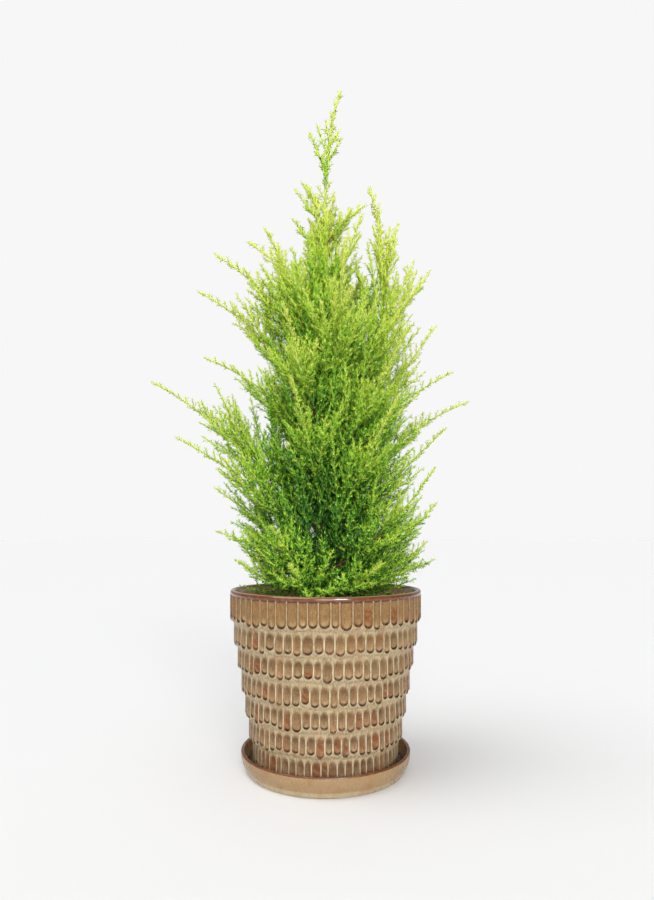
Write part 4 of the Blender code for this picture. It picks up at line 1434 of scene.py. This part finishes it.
def add_floor():
    """A wide pale floor under the saucer."""
    shape = bmesh.new()
    bmesh.ops.create_circle(shape, cap_ends=True, radius=FLOOR_RADIUS, segments=FLOOR_SIDES)
    mesh = bpy.data.meshes.new("floor")
    shape.to_mesh(mesh)
    shape.free()
    mesh.materials.append(plain_material("pale_floor", FLOOR_WHITE, 0.9, 0.1))
    linked("floor", mesh)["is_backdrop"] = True


def add_lights(look):
    """Three wide suns, and a softbox that only shows as a gloss."""
    for name, setting, tilt, turn, width in SUNS:
        sun = bpy.data.lights.new(name, "SUN")
        sun.energy = getattr(look, setting)
        sun.angle = math.radians(width)
        linked(name, sun).rotation_euler = (math.radians(tilt), 0, math.radians(turn))
    panel = bpy.data.lights.new("panel", "AREA")
    panel.shape = "RECTANGLE"
    panel.size = SOFTBOX_WIDTH
    panel.size_y = SOFTBOX_HEIGHT
    panel.energy = look.panel
    softbox = linked("panel", panel)
    softbox.location = SOFTBOX_PLACE
    softbox.rotation_euler = (AIM - SOFTBOX_PLACE).to_track_quat("-Z", "Y").to_euler()
    softbox.visible_diffuse = False


def studio_world(look):
    """White light from all round, weaker from the sides. The camera sees a plain backdrop instead."""
    world = bpy.data.worlds.new("studio")
    world.use_nodes = True
    tree = world.node_tree
    tree.nodes.clear()
    seen = tree.nodes.new("ShaderNodeLightPath")
    way = tree.nodes.new("ShaderNodeTexCoord")
    parts = tree.nodes.new("ShaderNodeSeparateXYZ")
    aside = tree.nodes.new("ShaderNodeMath")
    fill = tree.nodes.new("ShaderNodeBackground")
    back = tree.nodes.new("ShaderNodeBackground")
    both = tree.nodes.new("ShaderNodeMixShader")
    out = tree.nodes.new("ShaderNodeOutputWorld")
    aside.operation = "MULTIPLY"
    tree.links.new(way.outputs["Generated"], parts.inputs["Vector"])
    for i in (0, 1):
        tree.links.new(parts.outputs["X"], aside.inputs[i])
    full, least = look.fill * FILL_FRONT, look.fill * look.side_fill
    tree.links.new(ranged(tree, aside.outputs[0], 0.0, 1.0, full, least), fill.inputs["Strength"])
    back.inputs["Strength"].default_value = look.backdrop
    for node in (fill, back):
        node.inputs["Color"].default_value = (1, 1, 1, 1)
    tree.links.new(seen.outputs["Is Camera Ray"], both.inputs[0])
    tree.links.new(fill.outputs[0], both.inputs[1])
    tree.links.new(back.outputs[0], both.inputs[2])
    tree.links.new(both.outputs[0], out.inputs["Surface"])
    return world


def add_camera(look):
    """A level camera in front, its lens shifted up."""
    lens = bpy.data.cameras.new("camera")
    lens.lens = look.lens
    lens.shift_y = look.shift
    lens.clip_start = NEAREST_SEEN
    camera = linked("camera", lens)
    camera.location = (look.side, -look.distance, look.height)
    camera.rotation_euler = (math.radians(90), 0, 0)
    return camera


class CYPRESS_OT_stage(bpy.types.Operator):
    """Set the floor, the light and the camera"""

    bl_idname = "cypress.stage"
    bl_label = "Stage"

    def execute(self, context):
        look = context.scene.cypress_stage
        scene = context.scene
        scene.view_settings.view_transform = "Standard"
        add_floor()
        add_lights(look)
        scene.world = studio_world(look)
        scene.camera = add_camera(look)
        return {"FINISHED"}


class CYPRESS_PT_panel(bpy.types.Panel):
    """The sidebar panel with the pieces' settings and operators"""

    bl_idname = "CYPRESS_PT_panel"
    bl_label = "Potted cypress"
    bl_space_type = "VIEW_3D"
    bl_region_type = "UI"
    bl_category = "Cypress"

    def draw(self, context):
        for group, operators in PANEL_ROWS:
            box = self.layout.box()
            settings = getattr(context.scene, group, None)
            if settings is not None:
                for name in settings.bl_rna.properties.keys():
                    if name not in ("rna_type", "name"):
                        box.prop(settings, name)
            for operator in operators:
                box.operator(operator)


PANEL_ROWS = (
    ("cypress_pot", ("cypress.pot", "cypress.saucer", "cypress.soil")),
    ("cypress_crown", ("cypress.wood", "cypress.foliage")),
    ("cypress_stage", ("cypress.stage",)),
)
GROUPS = {"cypress_pot": CypressPot, "cypress_crown": CypressCrown, "cypress_stage": CypressStage}
CLASSES = (
    CypressPot,
    CypressCrown,
    CypressStage,
    CYPRESS_OT_pot,
    CYPRESS_OT_saucer,
    CYPRESS_OT_soil,
    CYPRESS_OT_wood,
    CYPRESS_OT_foliage,
    CYPRESS_OT_stage,
    CYPRESS_PT_panel,
)


def register():
    for thing in CLASSES:
        bpy.utils.register_class(thing)
    for name, group in GROUPS.items():
        setattr(bpy.types.Scene, name, bpy.props.PointerProperty(type=group))


def unregister():
    for name in GROUPS:
        delattr(bpy.types.Scene, name)
    for thing in reversed(CLASSES):
        bpy.utils.unregister_class(thing)


def main():
    register()
    bpy.ops.cypress.pot()
    bpy.ops.cypress.saucer()
    bpy.ops.cypress.soil()
    bpy.ops.cypress.wood()
    bpy.ops.cypress.foliage()
    bpy.ops.cypress.stage()
    bpy.context.view_layer.update()
    boxes = {"frame": FRAME_BOX, "visual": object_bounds()}
    plain = {name: [[float(c) for c in corner] for corner in box] for name, box in boxes.items()}


if __name__ == "__main__":
    main()
